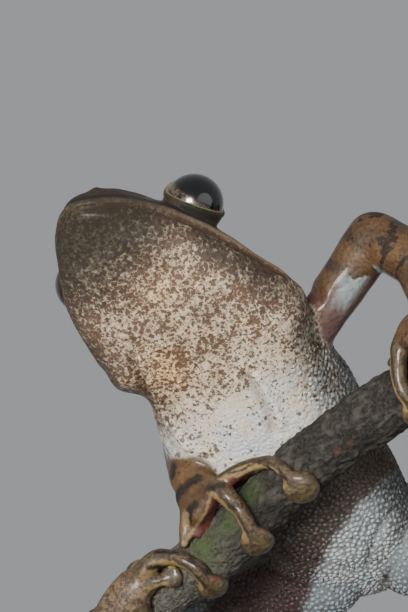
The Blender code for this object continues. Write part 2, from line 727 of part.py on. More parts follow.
def make_leg(side, body):
    """Makes the thigh, shank, tarsus, foot and toes of one side."""
    hip, knee, heel = HIPS[side], KNEES[side], HEELS[side]
    ankle = on_branch(*ANKLES[side])[0]
    middle, facing = on_branch(*FOOT_MIDDLES[side])
    foot_end = on_branch(*FOOT_ENDS[side])[0]
    thigh = limb_segment((hip, hip.lerp(knee, THIGH_BULGE), knee), THIGH_RADII)
    shank = limb_segment((knee, knee.lerp(heel, CALF_BULGE), heel), SHANK_RADII)
    tarsus = limb_segment((heel, heel.lerp(ankle, 0.5), ankle), TARSUS_RADII, SHORT_RINGS)
    foot = limb_segment(
        (ankle, middle, foot_end), FOOT_RADII, SHORT_RINGS, facing, HAND_FLATNESS)
    pieces = part_limb([thigh, shank, tarsus, foot], [hip, knee, heel, ankle, middle])
    body_clear = grown(body, GAP)
    pieces[0] = combine(pieces[0], body_clear, 'DIFFERENCE')
    body_clear.free()
    for name, piece in zip(("thigh_", "shank_", "tarsus_", "foot_"), pieces):
        finish = SKIN_DIGIT if name == "foot_" else SKIN_BACK
        make_object(name + side, piece.copy(), finish)
    make_digits("toe", side, pieces[2:4], TOES[side])


def branch_data(extra=0.0):
    """Makes the branch's mesh data, with its slow waves, or grown by an extra."""
    head_side, near_side = branch_sides()
    rings = []
    for row in range(BRANCH_RINGS):
        along = BRANCH_START + (BRANCH_END - BRANCH_START) * row / (BRANCH_RINGS - 1)
        ring = []
        for step in range(BRANCH_SIDES):
            angle = 2.0 * math.pi * step / BRANCH_SIDES
            wave = math.sin(WAVE_RATE * along + 1.0) * math.cos(2.0 * angle + WAVE_TWIST * along)
            radius = BRANCH_RADIUS - BARK_SLACK + BARK_WAVE * wave + extra
            outward = head_side * math.cos(angle) + near_side * math.sin(angle)
            ring.append(branch_axis(along) + outward * radius)
        rings.append(ring)
    return loft(rings, branch_axis(BRANCH_START), branch_axis(BRANCH_END))


def make_stand():
    """Makes the base plate and the two rods that hold up the branch."""
    data = bmesh.new()
    half_x = BASE_SIZE.x / 2.0 - BASE_CORNER
    half_y = BASE_SIZE.y / 2.0 - BASE_CORNER
    outline = []
    for corner, (x_sign, y_sign) in enumerate(((1, 1), (-1, 1), (-1, -1), (1, -1))):
        for step in range(CORNER_POINTS):
            angle = math.pi / 2.0 * (corner + step / (CORNER_POINTS - 1))
            outline.append((x_sign * half_x, y_sign * half_y, angle))
    bend = BASE_EDGE_MIDDLE * BASE_EDGE
    levels = ((0.0, BASE_CORNER), (BASE_SIZE.z - BASE_EDGE, BASE_CORNER),
              (BASE_SIZE.z - bend, BASE_CORNER - bend),
              (BASE_SIZE.z, BASE_CORNER - BASE_EDGE))
    rows = []
    for height, reach in levels:
        row = []
        for x, y, angle in outline:
            place = Vector((x + reach * math.cos(angle), y + reach * math.sin(angle), height))
            row.append(data.verts.new(place * MM))
        rows.append(row)
    count = len(outline)
    for first, second in zip(rows, rows[1:]):
        for index in range(count):
            after = (index + 1) % count
            data.faces.new((first[index], first[after], second[after], second[index]))
    data.faces.new(list(reversed(rows[0])))
    data.faces.new(rows[-1])
    clean(data)
    make_object("stand_base", data, STAND_BLACK)

    bark = branch_data(GAP)
    for name, along in ROD_PLACES:
        top = world(branch_axis(along))
        bottom = BASE_SIZE.z * MM + GAP * MM
        rod = bmesh.new()
        length = top.z - bottom
        bmesh.ops.create_cone(
            rod, cap_ends=True, segments=ROD_SIDES, radius1=ROD_RADIUS * MM, radius2=ROD_RADIUS * MM,
            depth=length)
        middle = Vector((top.x, top.y, bottom + length / 2.0))
        bmesh.ops.translate(rod, verts=rod.verts, vec=middle)
        clean(rod)
        rod = combine(rod, bark, 'DIFFERENCE')
        make_object(name, rod, STAND_METAL)
    bark.free()


def main():
    """Clears the scene and makes every piece."""
    for old in list(bpy.data.objects):
        bpy.data.objects.remove(old)
    body = make_body()
    for side in ("right", "left"):
        make_arm(side, body)
        make_leg(side, body)
    body.free()
    make_object("branch", branch_data(), BARK)
    make_stand()


main()
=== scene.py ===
"""Finished looks of a life-size four-lined tree frog that grips a cut branch on a stand.

Shapes are worked out in millimetres, as a viewer in front of the stand sees them: right, up
and near. The last step of each piece turns them into the model's metres.
"""

import logging
import math
from dataclasses import dataclass, field, replace
from enum import Enum

import bmesh
import bpy
import numpy as np
from mathutils import Matrix, Vector, noise

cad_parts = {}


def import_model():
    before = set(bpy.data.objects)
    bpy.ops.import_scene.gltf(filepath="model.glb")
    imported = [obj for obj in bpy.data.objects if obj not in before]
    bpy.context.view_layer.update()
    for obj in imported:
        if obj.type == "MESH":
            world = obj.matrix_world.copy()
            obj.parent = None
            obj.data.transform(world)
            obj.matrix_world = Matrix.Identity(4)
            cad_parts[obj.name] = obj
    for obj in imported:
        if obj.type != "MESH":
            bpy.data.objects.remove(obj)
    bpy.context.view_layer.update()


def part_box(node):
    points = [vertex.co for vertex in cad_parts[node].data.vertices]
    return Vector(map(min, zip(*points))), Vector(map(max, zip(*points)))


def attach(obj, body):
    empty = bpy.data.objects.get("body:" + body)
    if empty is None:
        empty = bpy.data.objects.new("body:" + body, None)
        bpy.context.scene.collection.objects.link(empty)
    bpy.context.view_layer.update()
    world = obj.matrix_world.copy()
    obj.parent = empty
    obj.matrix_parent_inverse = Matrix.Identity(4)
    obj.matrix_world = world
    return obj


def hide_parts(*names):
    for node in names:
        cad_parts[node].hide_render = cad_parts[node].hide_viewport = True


LOG = logging.getLogger("tree_frog")
Array = np.ndarray
Piece = bpy.types.Object
Material = bpy.types.Material
MM = 0.001
BODY = "root"
FAR_AWAY = 1e9


def unit(direction: Array) -> Array:
    """Gives directions of length one, along the last axis."""
    direction = np.asarray(direction, float)
    return direction / np.linalg.norm(direction, axis=-1, keepdims=True)


def ramp(low: float, high: float, value: Array) -> Array:
    """Gives 0 below low, 1 above high and a smooth rise between."""
    part = np.clip((value - low) / (high - low), 0.0, 1.0)
    return part * part * (3.0 - 2.0 * part)


def fall(low: float, high: float, value: Array) -> Array:
    """Gives 1 below low, 0 above high and a smooth fall between."""
    return 1.0 - ramp(low, high, value)


def hump(value: Array, width: float) -> Array:
    """Gives a bell of height one round zero."""
    return np.exp(-(value / width) ** 2)


def away_from(places: Array, place: Array) -> Array:
    """Gives how far places are from a place."""
    return np.linalg.norm(places - place, axis=1)


def turns_of(count: int) -> Array:
    """Gives evenly spaced angles round a full turn."""
    return 2.0 * math.pi * np.arange(count) / count


def read_table(table: tuple, distance: float) -> float:
    """Reads a table of pairs along a curve without overshoot.

    Args:
        table: pairs of distance and value, in rising order.
        distance: the place that is read.

    Returns:
        The value there.
    """
    if distance <= table[0][0]:
        return table[0][1]
    if distance >= table[-1][0]:
        return table[-1][1]
    slopes = [(b[1] - a[1]) / (b[0] - a[0]) for a, b in zip(table, table[1:])]
    index = next(k for k in range(len(slopes)) if table[k + 1][0] >= distance)

    def tangent(k: int) -> float:
        """Gives the curve's slope at one point of the table."""
        before, after = slopes[max(k - 1, 0)], slopes[min(k, len(slopes) - 1)]
        return 2.0 * before * after / (before + after) if before * after > 0.0 else 0.0

    span = table[index + 1][0] - table[index][0]
    part = (distance - table[index][0]) / span
    square, cube = part * part, part * part * part
    return (table[index][1] * (2 * cube - 3 * square + 1)
            + tangent(index) * span * (cube - 2 * square + part)
            + table[index + 1][1] * (3 * square - 2 * cube)
            + tangent(index + 1) * span * (cube - square))


def curve_through(rows: list, count: int) -> Array:
    """Reads evenly spaced rows from a smooth curve through a few rows of numbers.

    Args:
        rows: the rows that the curve passes through.
        count: how many rows are read.

    Returns:
        The rows read, one under another.
    """
    knots = np.array(rows, float)
    spans = len(knots) - 1
    along = spans * np.arange(count) / (count - 1)
    index = np.minimum(along.astype(int), spans - 1)
    part = (along - index)[:, None]
    a = knots[np.maximum(index - 1, 0)]
    b = knots[index]
    c = knots[index + 1]
    d = knots[np.minimum(index + 2, spans)]
    return 0.5 * (2 * b + (c - a) * part + (2 * a - 5 * b + 4 * c - d) * part ** 2
                  + (3 * b - a - 3 * c + d) * part ** 3)


@dataclass(frozen=True)
class Viewpoint:
    """Where the viewer stands, which also gives the directions that the shapes use."""

    turn: float = math.radians(37.1)
    tilt: float = math.radians(22.0)
    centre: tuple[float, float, float] = (-7.0, -10.0, 92.0)
    distance: float = 210.0
    frame_height: float = 62.45
    sensor: float = 36.0

    def axes(self) -> Array:
        """Gives the rows right, up and near."""
        right = np.array([math.cos(self.turn), math.sin(self.turn), 0.0])
        up = np.array([
            math.sin(self.tilt) * math.sin(self.turn),
            -math.sin(self.tilt) * math.cos(self.turn),
            math.cos(self.tilt)])
        return np.array([right, up, np.cross(right, up)])

    def to_metres(self, places: Array) -> Array:
        """Turns the viewer's millimetres into the model's metres."""
        return (np.asarray(places) @ self.axes() + np.array(self.centre)) * MM

    def to_millimetres(self, places: Array) -> Array:
        """Turns the model's metres into the viewer's millimetres."""
        return (np.asarray(places) / MM - np.array(self.centre)) @ self.axes().T


VIEW = Viewpoint()


@dataclass
class Shell:
    """Points and faces of a shape in the viewer's millimetres."""

    points: Array
    faces: list

    def joined(self, other: "Shell") -> "Shell":
        """Gives this shell and another as one."""
        shift = len(self.points)
        moved = [tuple(corner + shift for corner in face) for face in other.faces]
        return Shell(np.vstack([self.points, other.points]), self.faces + moved)


def loft(rings: Array, start_tip: Array, end_tip: Array) -> Shell:
    """Makes a closed shell through rings, with a tip at each end.

    Args:
        rings: places in the order ring, point, coordinate.
        start_tip: the place that closes the first ring.
        end_tip: the place that closes the last ring.

    Returns:
        The closed shell.
    """
    rows, count = rings.shape[:2]
    after = [(index + 1) % count for index in range(count)]
    faces = [(low + index, low + after[index], low + count + after[index], low + count + index)
             for low in range(0, (rows - 1) * count, count) for index in range(count)]
    tip, last = rows * count, (rows - 1) * count
    for index in range(count):
        faces.append((after[index], index, tip))
        faces.append((last + index, last + after[index], tip + 1))
    return Shell(np.vstack([rings.reshape(-1, 3), [start_tip], [end_tip]]), faces)


def tube_rings(places: Array, wide: Array, thick: Array, normals: Array, sides: int) -> Array:
    """Gives oval rings round a path.

    Args:
        places: the path.
        wide: half the width at each place.
        thick: half the thickness at each place.
        normals: the direction of the thickness at each place.
        sides: how many points a ring has.

    Returns:
        The rings' points.
    """
    ahead = unit(np.gradient(places, axis=0))
    face = unit(normals - ahead * np.sum(normals * ahead, axis=1, keepdims=True))
    side = np.cross(face, ahead)
    angle = turns_of(sides)
    return (places[:, None]
            + side[:, None] * (wide[:, None] * np.cos(angle))[..., None]
            + face[:, None] * (thick[:, None] * np.sin(angle))[..., None])


def in_scene(name: str, data: bpy.types.ID) -> Piece:
    """Puts a mesh, lamp or camera into the scene.

    Args:
        name: the new object's name.
        data: what the object shows.

    Returns:
        The object.
    """
    made = bpy.data.objects.new(name, data)
    bpy.context.scene.collection.objects.link(made)
    return made


def make_mesh(name: str, shell: Shell) -> Piece:
    """Makes a smooth-shaded object from a shell, in the model's metres, facing outwards.

    Args:
        name: the new object's name.
        shell: its points in the viewer's millimetres, and its faces.

    Returns:
        The object, in the scene.
    """
    mesh = bpy.data.meshes.new(name)
    mesh.from_pydata(VIEW.to_metres(shell.points).tolist(), [], shell.faces)
    mesh.validate()
    mesh.shade_smooth()
    work = bmesh.new()
    work.from_mesh(mesh)
    bmesh.ops.recalc_face_normals(work, faces=work.faces)
    work.to_mesh(mesh)
    work.free()
    return in_scene(name, mesh)


def read_rows(parts: object, name: str, width: int, kind: type = np.float32) -> Array:
    """Reads rows of numbers from the parts of a mesh.

    Args:
        parts: the mesh's corners, normals or edges.
        name: which of their values is read.
        width: how many numbers each part has.
        kind: the type that the mesh keeps them in.

    Returns:
        One row for each part.
    """
    values = np.empty(len(parts) * width, kind)
    parts.foreach_get(name, values)
    return values.reshape(-1, width)


def points_of(piece: Piece) -> Array:
    """Reads a piece's corners, in the model's metres."""
    return read_rows(piece.data.vertices, "co", 3).astype(float)


def places_of(piece: Piece) -> Array:
    """Reads a piece's corners, in the viewer's millimetres."""
    return VIEW.to_millimetres(points_of(piece))


def facings_of(piece: Piece) -> Array:
    """Reads the way that each corner of a piece faces, as the viewer sees it."""
    return read_rows(piece.data.vertex_normals, "vector", 3).astype(float) @ VIEW.axes().T


def move_corners(piece: Piece, places: Array) -> None:
    """Puts a piece's corners at places in the viewer's millimetres."""
    piece.data.vertices.foreach_set("co", VIEW.to_metres(places).astype(np.float32).ravel())
    piece.data.update()


def add_values(piece: Piece, name: str, values: Array) -> None:
    """Stores one number for each corner of a piece under a name."""
    layer = piece.data.attributes.new(name, 'FLOAT', 'POINT')
    layer.data.foreach_set("value", values.astype(np.float32))


def applied(piece: Piece) -> Piece:
    """Turns a piece's modifiers into plain mesh and removes them.

    Args:
        piece: the piece, with modifiers.

    Returns:
        The same piece.
    """
    graph = bpy.context.evaluated_depsgraph_get()
    mesh = bpy.data.meshes.new_from_object(piece.evaluated_get(graph), depsgraph=graph)
    piece.modifiers.clear()
    spent = piece.data
    piece.data = mesh
    bpy.data.meshes.remove(spent)
    mesh.name = piece.name
    return piece


def relax(points: Array, edges: Array, weights: Array, rounds: int) -> Array:
    """Smooths places towards the middle of their neighbours.

    Args:
        points: the places.
        edges: pairs of neighbours.
        weights: how much each place may move, from 0 to 1.
        rounds: how often it is done.

    Returns:
        The smoothed places.
    """
    first, second = edges[:, 0], edges[:, 1]
    count = len(points)
    degree = np.bincount(first, minlength=count) + np.bincount(second, minlength=count)
    for _ in range(rounds):
        total = np.empty_like(points)
        for axis in range(3):
            total[:, axis] = (
                np.bincount(first, weights=points[second, axis], minlength=count)
                + np.bincount(second, weights=points[first, axis], minlength=count))
        middle = total / np.maximum(degree, 1)[:, None]
        points = points + (middle - points) * (0.5 * weights)[:, None]
    return points


def triangles_of(piece: Piece) -> int:
    """Counts a piece's faces as triangles."""
    return sum(len(face.vertices) - 2 for face in piece.data.polygons)


class Side(Enum):
    """The frog's own left and right."""

    LEFT = 1
    RIGHT = -1

    @property
    def word(self) -> str:
        """Gives the side's name as the nodes use it."""
        return self.name.lower()


class Region(Enum):
    """The lengths of the frog that carry markings of their own."""

    BODY = 0
    UPPER_ARM = 1
    FOREARM = 2
    HAND = 3
    FINGER = 4
    THIGH = 5
    SHANK = 6
    TARSUS = 7
    FOOT = 8
    TOE = 9


BARRED = {Region.THIGH: 0.9, Region.SHANK: 1.0, Region.FOREARM: 1.0, Region.TARSUS: 0.9,
          Region.UPPER_ARM: 0.7, Region.HAND: 0.8, Region.FOOT: 0.8}
BROWNER = {Region.UPPER_ARM: -0.5, Region.FOREARM: 0.4, Region.HAND: 1.2}


@dataclass(frozen=True)
class BodyForm:
    """Head and trunk as rings along the body, with the sizes of the solid model."""

    snout_tip: tuple = (-13.25, 9.3, 11.0)
    head_forward: tuple = (-0.67, 0.565, 0.485)
    head_left: tuple = (0.745, 0.53, 0.40)
    head_length: float = 23.0
    head_half_width: float = 10.9
    arch_fullness: float = 2.1
    arch_bluntness: float = 0.66
    head_taper: float = 0.3
    taper_end: float = 30.0
    taper_fade: float = 8.0
    trunk_forward: tuple = (-0.47, 0.70, 0.54)
    trunk_left: tuple = (0.881, 0.411, 0.234)
    trunk_length: float = 39.0
    neck_start: float = 21.0
    neck_end: float = 31.0
    back_height: tuple = (
        (0, 0.4), (0.5, 2.1), (2, 3.9), (5, 5.1), (9, 5.9), (14, 6.6), (20, 7), (26, 7.4), (33, 8),
        (41, 8.2), (48, 7.4), (55, 6), (59.5, 3.8), (62, 1.2))
    belly_depth: tuple = (
        (0, 0.3), (0.5, 0.8), (2, 1.5), (5, 2.3), (9, 3.2), (14, 4.2), (20, 5), (26, 6), (33, 7.5),
        (41, 8.3), (48, 8), (55, 5.8), (59.5, 3.4), (62, 1.2))
    trunk_half_width: tuple = (
        (23, 10.9), (27, 10.2), (33, 10.5), (41, 10), (48, 9), (55, 7.8), (59.5, 5), (62, 1.4))
    lean: tuple = (
        (0, 0), (4, -0.1), (10, 0.55), (17, 0.8), (22, 0.7), (31, 1.3), (40, 1.2), (62, 0))
    back_boxiness: tuple = (
        (0, 2.5), (5, 3), (11, 2.4), (16, 1.7), (24, 1.7), (33, 2.2), (62, 2.1))
    belly_boxiness_across: float = 2.4
    belly_boxiness_down: float = 2.2
    half_ring_points: int = 48
    ring_step: float = 0.4
    sample_step: float = 0.1
    coarse_steps: int = 10
    search_block: int = 20_000

    def head_axes(self) -> Array:
        """Gives the head's forward, left and up."""
        forward = unit(self.head_forward)
        left = unit(self.head_left)
        return np.array([forward, left, unit(np.cross(forward, left))])

    def axes(self, distance: float) -> Array:
        """Gives forward, left and up at a distance behind the snout tip."""
        part = float(ramp(self.neck_start, self.neck_end, distance))
        forward = unit(unit(self.head_forward) * (1.0 - part) + unit(self.trunk_forward) * part)
        left = unit(self.head_left) * (1.0 - part) + unit(self.trunk_left) * part
        left = unit(left - forward * np.dot(left, forward))
        return np.array([forward, left, np.cross(forward, left)])

    def centre(self, distance: float) -> Array:
        """Gives the body's middle, level with the lips.

        Args:
            distance: how far behind the snout tip it is.

        Returns:
            The place in the viewer's millimetres.
        """
        lean = read_table(self.lean, distance)
        tip = np.array(self.snout_tip)
        forward, left = unit(self.head_forward), unit(self.head_left)
        if distance <= self.head_length:
            return tip - forward * distance - left * lean
        jaw = tip - forward * self.head_length
        behind = distance - self.head_length
        return jaw - unit(self.trunk_forward) * behind - unit(self.trunk_left) * lean

    def half_width(self, distance: float) -> float:
        """Gives half the width of the head or the trunk."""
        if distance >= self.head_length:
            return read_table(self.trunk_half_width, distance)
        part = 1.0 - distance / self.head_length
        return self.head_half_width * (1.0 - part ** self.arch_fullness) ** self.arch_bluntness

    def ring(self, distance: float) -> Array:
        """Gives one ring of the body.

        Args:
            distance: how far behind the snout tip it is.

        Returns:
            Its points: the back from the left lip over to the right, then the belly.
        """
        forward, left, up = self.axes(distance)
        head_part = min(max((self.taper_end - distance) / self.taper_fade, 0.0), 1.0)
        width = self.half_width(distance)
        boxiness = read_table(self.back_boxiness, distance)
        half = math.pi * np.arange(self.half_ring_points) / self.half_ring_points

        def bent(value: Array, power: float) -> Array:
            """Bends a sine or cosine into that of a rounded box."""
            return np.copysign(np.abs(value) ** (2.0 / power), value)

        rise = bent(np.sin(half), boxiness)
        top = bent(np.cos(half), boxiness) * (1.0 - self.head_taper * head_part * rise ** 2)
        drop = bent(np.sin(half + math.pi), self.belly_boxiness_down)
        low = bent(np.cos(half + math.pi), self.belly_boxiness_across)
        across = np.concatenate([top, low]) * width
        height = np.concatenate([
            rise * read_table(self.back_height, distance),
            drop * read_table(self.belly_depth, distance)])
        return self.centre(distance) + across[:, None] * left + height[:, None] * up

    def shell(self) -> Shell:
        """Makes the closed body."""
        end = self.head_length + self.trunk_length
        near_tip = [0.05, 0.12, 0.22, 0.35, 0.5, 0.7, 0.95, 1.25]
        count = int((end - 2.0) / self.ring_step)
        distances = near_tip + list(np.linspace(1.6, end - 0.4, count))
        rings = np.array([self.ring(distance) for distance in distances])
        tip = np.array(self.snout_tip) + unit(self.head_forward) * 0.03
        return loft(rings, tip, self.centre(end + 0.2))

    def place(self, back: float, left: float, up: float) -> Array:
        """Gives a place on the head from its distances back, left and up from the tip."""
        forward, leftward, upward = self.head_axes()
        return np.array(self.snout_tip) - forward * back + leftward * left + upward * up

    def head_coordinates(self, places: Array) -> Array:
        """Gives each place's distances back, left and up from the lip's tip."""
        axes = self.head_axes() * np.array([[-1.0], [1.0], [1.0]])
        return (places - np.array(self.snout_tip)) @ axes.T

    def coordinates(self, places: Array) -> tuple[Array, Array, Array, Array]:
        """Finds where places lie along and round the body.

        Args:
            places: places in the viewer's millimetres.

        Returns:
            The distance behind the snout tip, the offsets to the left and up in
            millimetres, and how far outside the body's surface the place roughly is.
        """
        end = self.head_length + self.trunk_length
        steps = np.arange(0.0, end + self.sample_step, self.sample_step)
        centres = np.array([self.centre(step) for step in steps])
        frames = np.array([self.axes(step) for step in steps])
        coarse = centres[::self.coarse_steps]
        nearest = np.empty(len(places), int)
        for start in range(0, len(places), self.search_block):
            block = slice(start, start + self.search_block)
            gaps = np.linalg.norm(places[block, None] - coarse[None], axis=2)
            nearest[block] = np.argmin(gaps, axis=1) * self.coarse_steps

        def along(axis: int) -> Array:
            """Gives how far places lie from their nearest step, along one of its directions."""
            return np.einsum('ij,ij->i', places - centres[nearest], frames[nearest, axis])

        for _ in range(2):
            back = -along(0) / self.sample_step
            nearest = np.clip(nearest + np.round(back).astype(int), 0, len(steps) - 1)
        ahead, left, up = along(0), along(1), along(2)
        width = np.array([max(self.half_width(step), 0.3) for step in steps])[nearest]
        height = np.array([read_table(self.back_height, step) for step in steps])[nearest]
        depth = np.array([read_table(self.belly_depth, step) for step in steps])[nearest]
        tall = np.where(up > 0.0, height, depth)
        reach = np.hypot(left / width, up / tall)
        outside = (reach - 1.0) * np.minimum(width, tall)
        return steps[nearest], left, up, np.maximum(outside, np.abs(ahead) - 0.3)


@dataclass(frozen=True)
class BranchForm:
    """The cut branch: its axis, and places on its bark."""

    place: tuple = (8.5, -18.2, 2.5)
    direction: tuple = (0.727, 0.588, 0.355)
    radius: float = 3.05
    start: float = -41.0
    end: float = 47.0
    bend: tuple = (
        (-41, -0.95), (-14, -0.95), (-3, -0.05), (3, 0.70), (10, 0.75), (14, 0.45), (18, 0.10),
        (47, 0.10))

    def sides(self) -> Array:
        """Gives the branch's cross directions: towards the frog's head, and near."""
        ahead = unit(self.direction)
        head_side = unit([-ahead[1], ahead[0], 0.0])
        near_side = np.cross(ahead, head_side)
        return np.array([head_side, near_side * np.sign(near_side[2])])

    def axis(self, along: Array) -> Array:
        """Gives places on the axis, which is a little crooked."""
        along = np.asarray(along, float)
        straight = np.array(self.place) + along[..., None] * unit(self.direction)
        places, which = np.unique(along, return_inverse=True)
        bent = np.array([read_table(self.bend, place) for place in places])[which]
        return straight + bent.reshape(along.shape)[..., None] * self.sides()[0]

    def outward(self, angle: Array) -> Array:
        """Gives the directions out of the bark at angles in degrees."""
        head_side, near_side = self.sides()
        turn = np.radians(np.asarray(angle))[..., None]
        return head_side * np.cos(turn) + near_side * np.sin(turn)

    def at(self, spot: tuple) -> tuple[Array, Array]:
        """Gives a place above the bark, and the direction out of it there.

        Args:
            spot: distance along, degrees from the head's side to the viewer, and lift.

        Returns:
            The place and the outward direction.
        """
        spot = np.asarray(spot, float)
        outward = self.outward(spot[..., 1])
        reach = (self.radius + spot[..., 2])[..., None]
        return self.axis(spot[..., 0]) + outward * reach, outward


@dataclass(frozen=True)
class Bone:
    """The middle line of one length of limb, which also carries its markings."""

    region: Region
    side: Side
    places: Array
    radii: Array
    outer: Array
    start: float = 0.0
    disc: Array | None = None


BODY_FORM = BodyForm()
BRANCH_FORM = BranchForm()


@dataclass(frozen=True)
class Length:
    """One length of a limb between two joints."""

    region: Region
    places: tuple
    radii: tuple
    outer: tuple
    flatness: float = 1.0
    facing: tuple | None = None
    sides: int = 28
    count: int = 26

    def stations(self) -> Array:
        """Gives rows of place and radius along the length."""
        rows = [(*place, radius) for place, radius in zip(self.places, self.radii)]
        return curve_through(rows, self.count)

    def shell(self) -> Shell:
        """Makes the length with round ends."""
        rows = self.stations()
        places, radii = rows[:, :3], rows[:, 3]
        back = unit(places[0] - places[1])
        ahead = unit(places[-1] - places[-2])
        turns = np.linspace(0.15, 1.0, 8)[:-1] * math.pi / 2.0
        far, size = np.sin(turns), np.cos(turns)
        before = (places[0] + back * (radii[0] * far)[:, None])[::-1]
        after = places[-1] + ahead * (radii[-1] * far)[:, None]
        path = np.vstack([before, places, after])
        wide = np.concatenate([(radii[0] * size)[::-1], radii, radii[-1] * size])
        normal = self.outer if self.facing is None else self.facing
        normals = np.tile(np.asarray(normal, float), (len(path), 1))
        rings = tube_rings(path, wide, wide * self.flatness, normals, self.sides)
        return loft(rings, places[0] + back * radii[0], places[-1] + ahead * radii[-1])

    def bone(self, side: Side) -> Bone:
        """Gives the middle line for the markings."""
        rows = self.stations()[::3]
        outer = np.tile(unit(self.outer), (len(rows), 1))
        return Bone(self.region, side, rows[:, :3], rows[:, 3], outer)


@dataclass(frozen=True)
class Digit:
    """A finger or toe that lies round the branch and ends in a round disc."""

    region: Region
    root: tuple
    path: tuple
    tip: tuple
    disc_radius: float
    radius: float
    disc_flatness: float = 0.42
    sink: float = 0.28
    root_swell: float = 0.4
    joint_spacing: float = 2.3
    sides: int = 22

    def stations(self) -> tuple[Array, Array, Array, Array]:
        """Works out the digit's path.

        Returns:
            Places, half widths, half thicknesses and the directions out of the bark.
        """
        reach = BRANCH_FORM.radius + 1.0
        before = self.path[-1] if self.path else self.root
        step_along = self.tip[0] - before[0]
        step_round = math.radians(self.tip[1] - before[1]) * reach
        over = self.disc_radius / math.hypot(step_along, step_round)
        end = (self.tip[0] + step_along * over,
               self.tip[1] + math.degrees(step_round * over / reach))
        low = self.disc_radius * self.disc_flatness + 0.3
        knots = [self.root, *self.path, (*self.tip, low), (*end, low * 0.9)]
        rows = curve_through(knots, 14 + 12 * len(knots))
        far = np.linspace(0.0, 1.0, len(rows))
        rows[:, 2] -= self.sink * ramp(0, 0.5, far)
        places, normals = BRANCH_FORM.at(rows)
        centre = BRANCH_FORM.at((*self.tip, low - self.sink))[0]
        away = away_from(places, centre)
        disc = np.sqrt(np.maximum(self.disc_radius ** 2 - away ** 2, 0.0))
        past = (away > away_from(places, places[-1])) & (disc > 0.0)
        radius = self.radius * (1.0 + self.root_swell * fall(0, 0.45, far))
        neck = (radius ** 4 + disc ** 4) ** 0.25
        wide = np.where(past, np.maximum(disc, 0.25), neck)
        full = self.disc_radius * self.disc_flatness * 1.12
        share = disc / self.disc_radius
        thick = np.where(
            past, full * (0.3 + 0.7 * share), radius + (full - radius) * share)
        return places, wide, thick, normals

    def shell(self) -> Shell:
        """Makes the digit with its pads."""
        places, wide, thick, normals = self.stations()
        steps = np.linalg.norm(np.diff(places, axis=0), axis=1)
        length = np.concatenate([[0.0], np.cumsum(steps)])
        joint = 0.5 + 0.5 * np.cos(2.0 * math.pi * (length[-1] - self.disc_radius - length)
                                   / self.joint_spacing)
        wide = wide * (1.0 + 0.10 * joint ** 2 * fall(0.55, 0.85, length / length[-1]))
        rings = tube_rings(places[:-1], wide[:-1], thick[:-1], normals[:-1], self.sides)
        return loft(rings, places[0], places[-1])

    def bone(self, side: Side) -> Bone:
        """Gives the middle line for the markings."""
        places, wide, thick, normals = self.stations()
        share = ramp(self.radius * 1.05, self.disc_radius * 0.9, wide)
        far = np.arange(len(places)) / len(places)
        disc = np.maximum(share, ramp(0.90, 0.97, far))
        keep = slice(None, None, 3)
        radii = np.minimum(wide, thick)
        return Bone(self.region, side, places[keep], radii[keep], normals[keep], disc=disc[keep])


@dataclass(frozen=True)
class Web:
    """A thin skin between the first stretches of two neighbouring digits."""

    first: Digit
    second: Digit
    reach_first: float
    reach_second: float
    thickness: float = 0.42
    sag: float = 0.55

    def shell(self) -> Shell:
        """Makes the web as a closed sheet with a hollow free edge."""
        rows, columns = 14, 9
        edges = []
        for digit, reach in ((self.first, self.reach_first), (self.second, self.reach_second)):
            places, _, _, normals = digit.stations()
            last = max(int(reach * len(places)), 2)
            index = np.linspace(1, last, rows).round().astype(int)
            edges.append((places[index], normals[index]))
        share = np.arange(columns) / (columns - 1)
        arch = np.sin(math.pi * share)
        far = np.arange(rows)[:, None] * (1.0 - self.sag * arch)
        base = np.minimum(far.astype(int), rows - 2)
        part, across = (far - base)[..., None], share[:, None]
        first, second = (places[base] * (1 - part) + places[base + 1] * part
                         for places, _ in edges)
        normal = unit(edges[0][1][base] * (1 - across) + edges[1][1][base] * across)
        place = first * (1 - across) + second * across
        place = place - normal * (0.35 * arch * far / rows + 0.15)[..., None]
        half = normal * self.thickness / 2.0
        grid = np.arange(rows * columns).reshape(rows, columns)
        shift = grid.size
        faces = []
        for a in grid[:-1, :-1].ravel().tolist():
            b, c, d = a + 1, a + columns + 1, a + columns
            faces.append((a, b, c, d))
            faces.append((a + shift, d + shift, c + shift, b + shift))
        rim = np.concatenate([
            grid[0], grid[1:, -1], grid[-1, -2::-1], grid[-2:0:-1, 0]]).tolist()
        for a, b in zip(rim, rim[1:] + rim[:1]):
            faces.append((a, a + shift, b + shift, b))
        return Shell(np.concatenate([place + half, place - half]).reshape(-1, 3), faces)


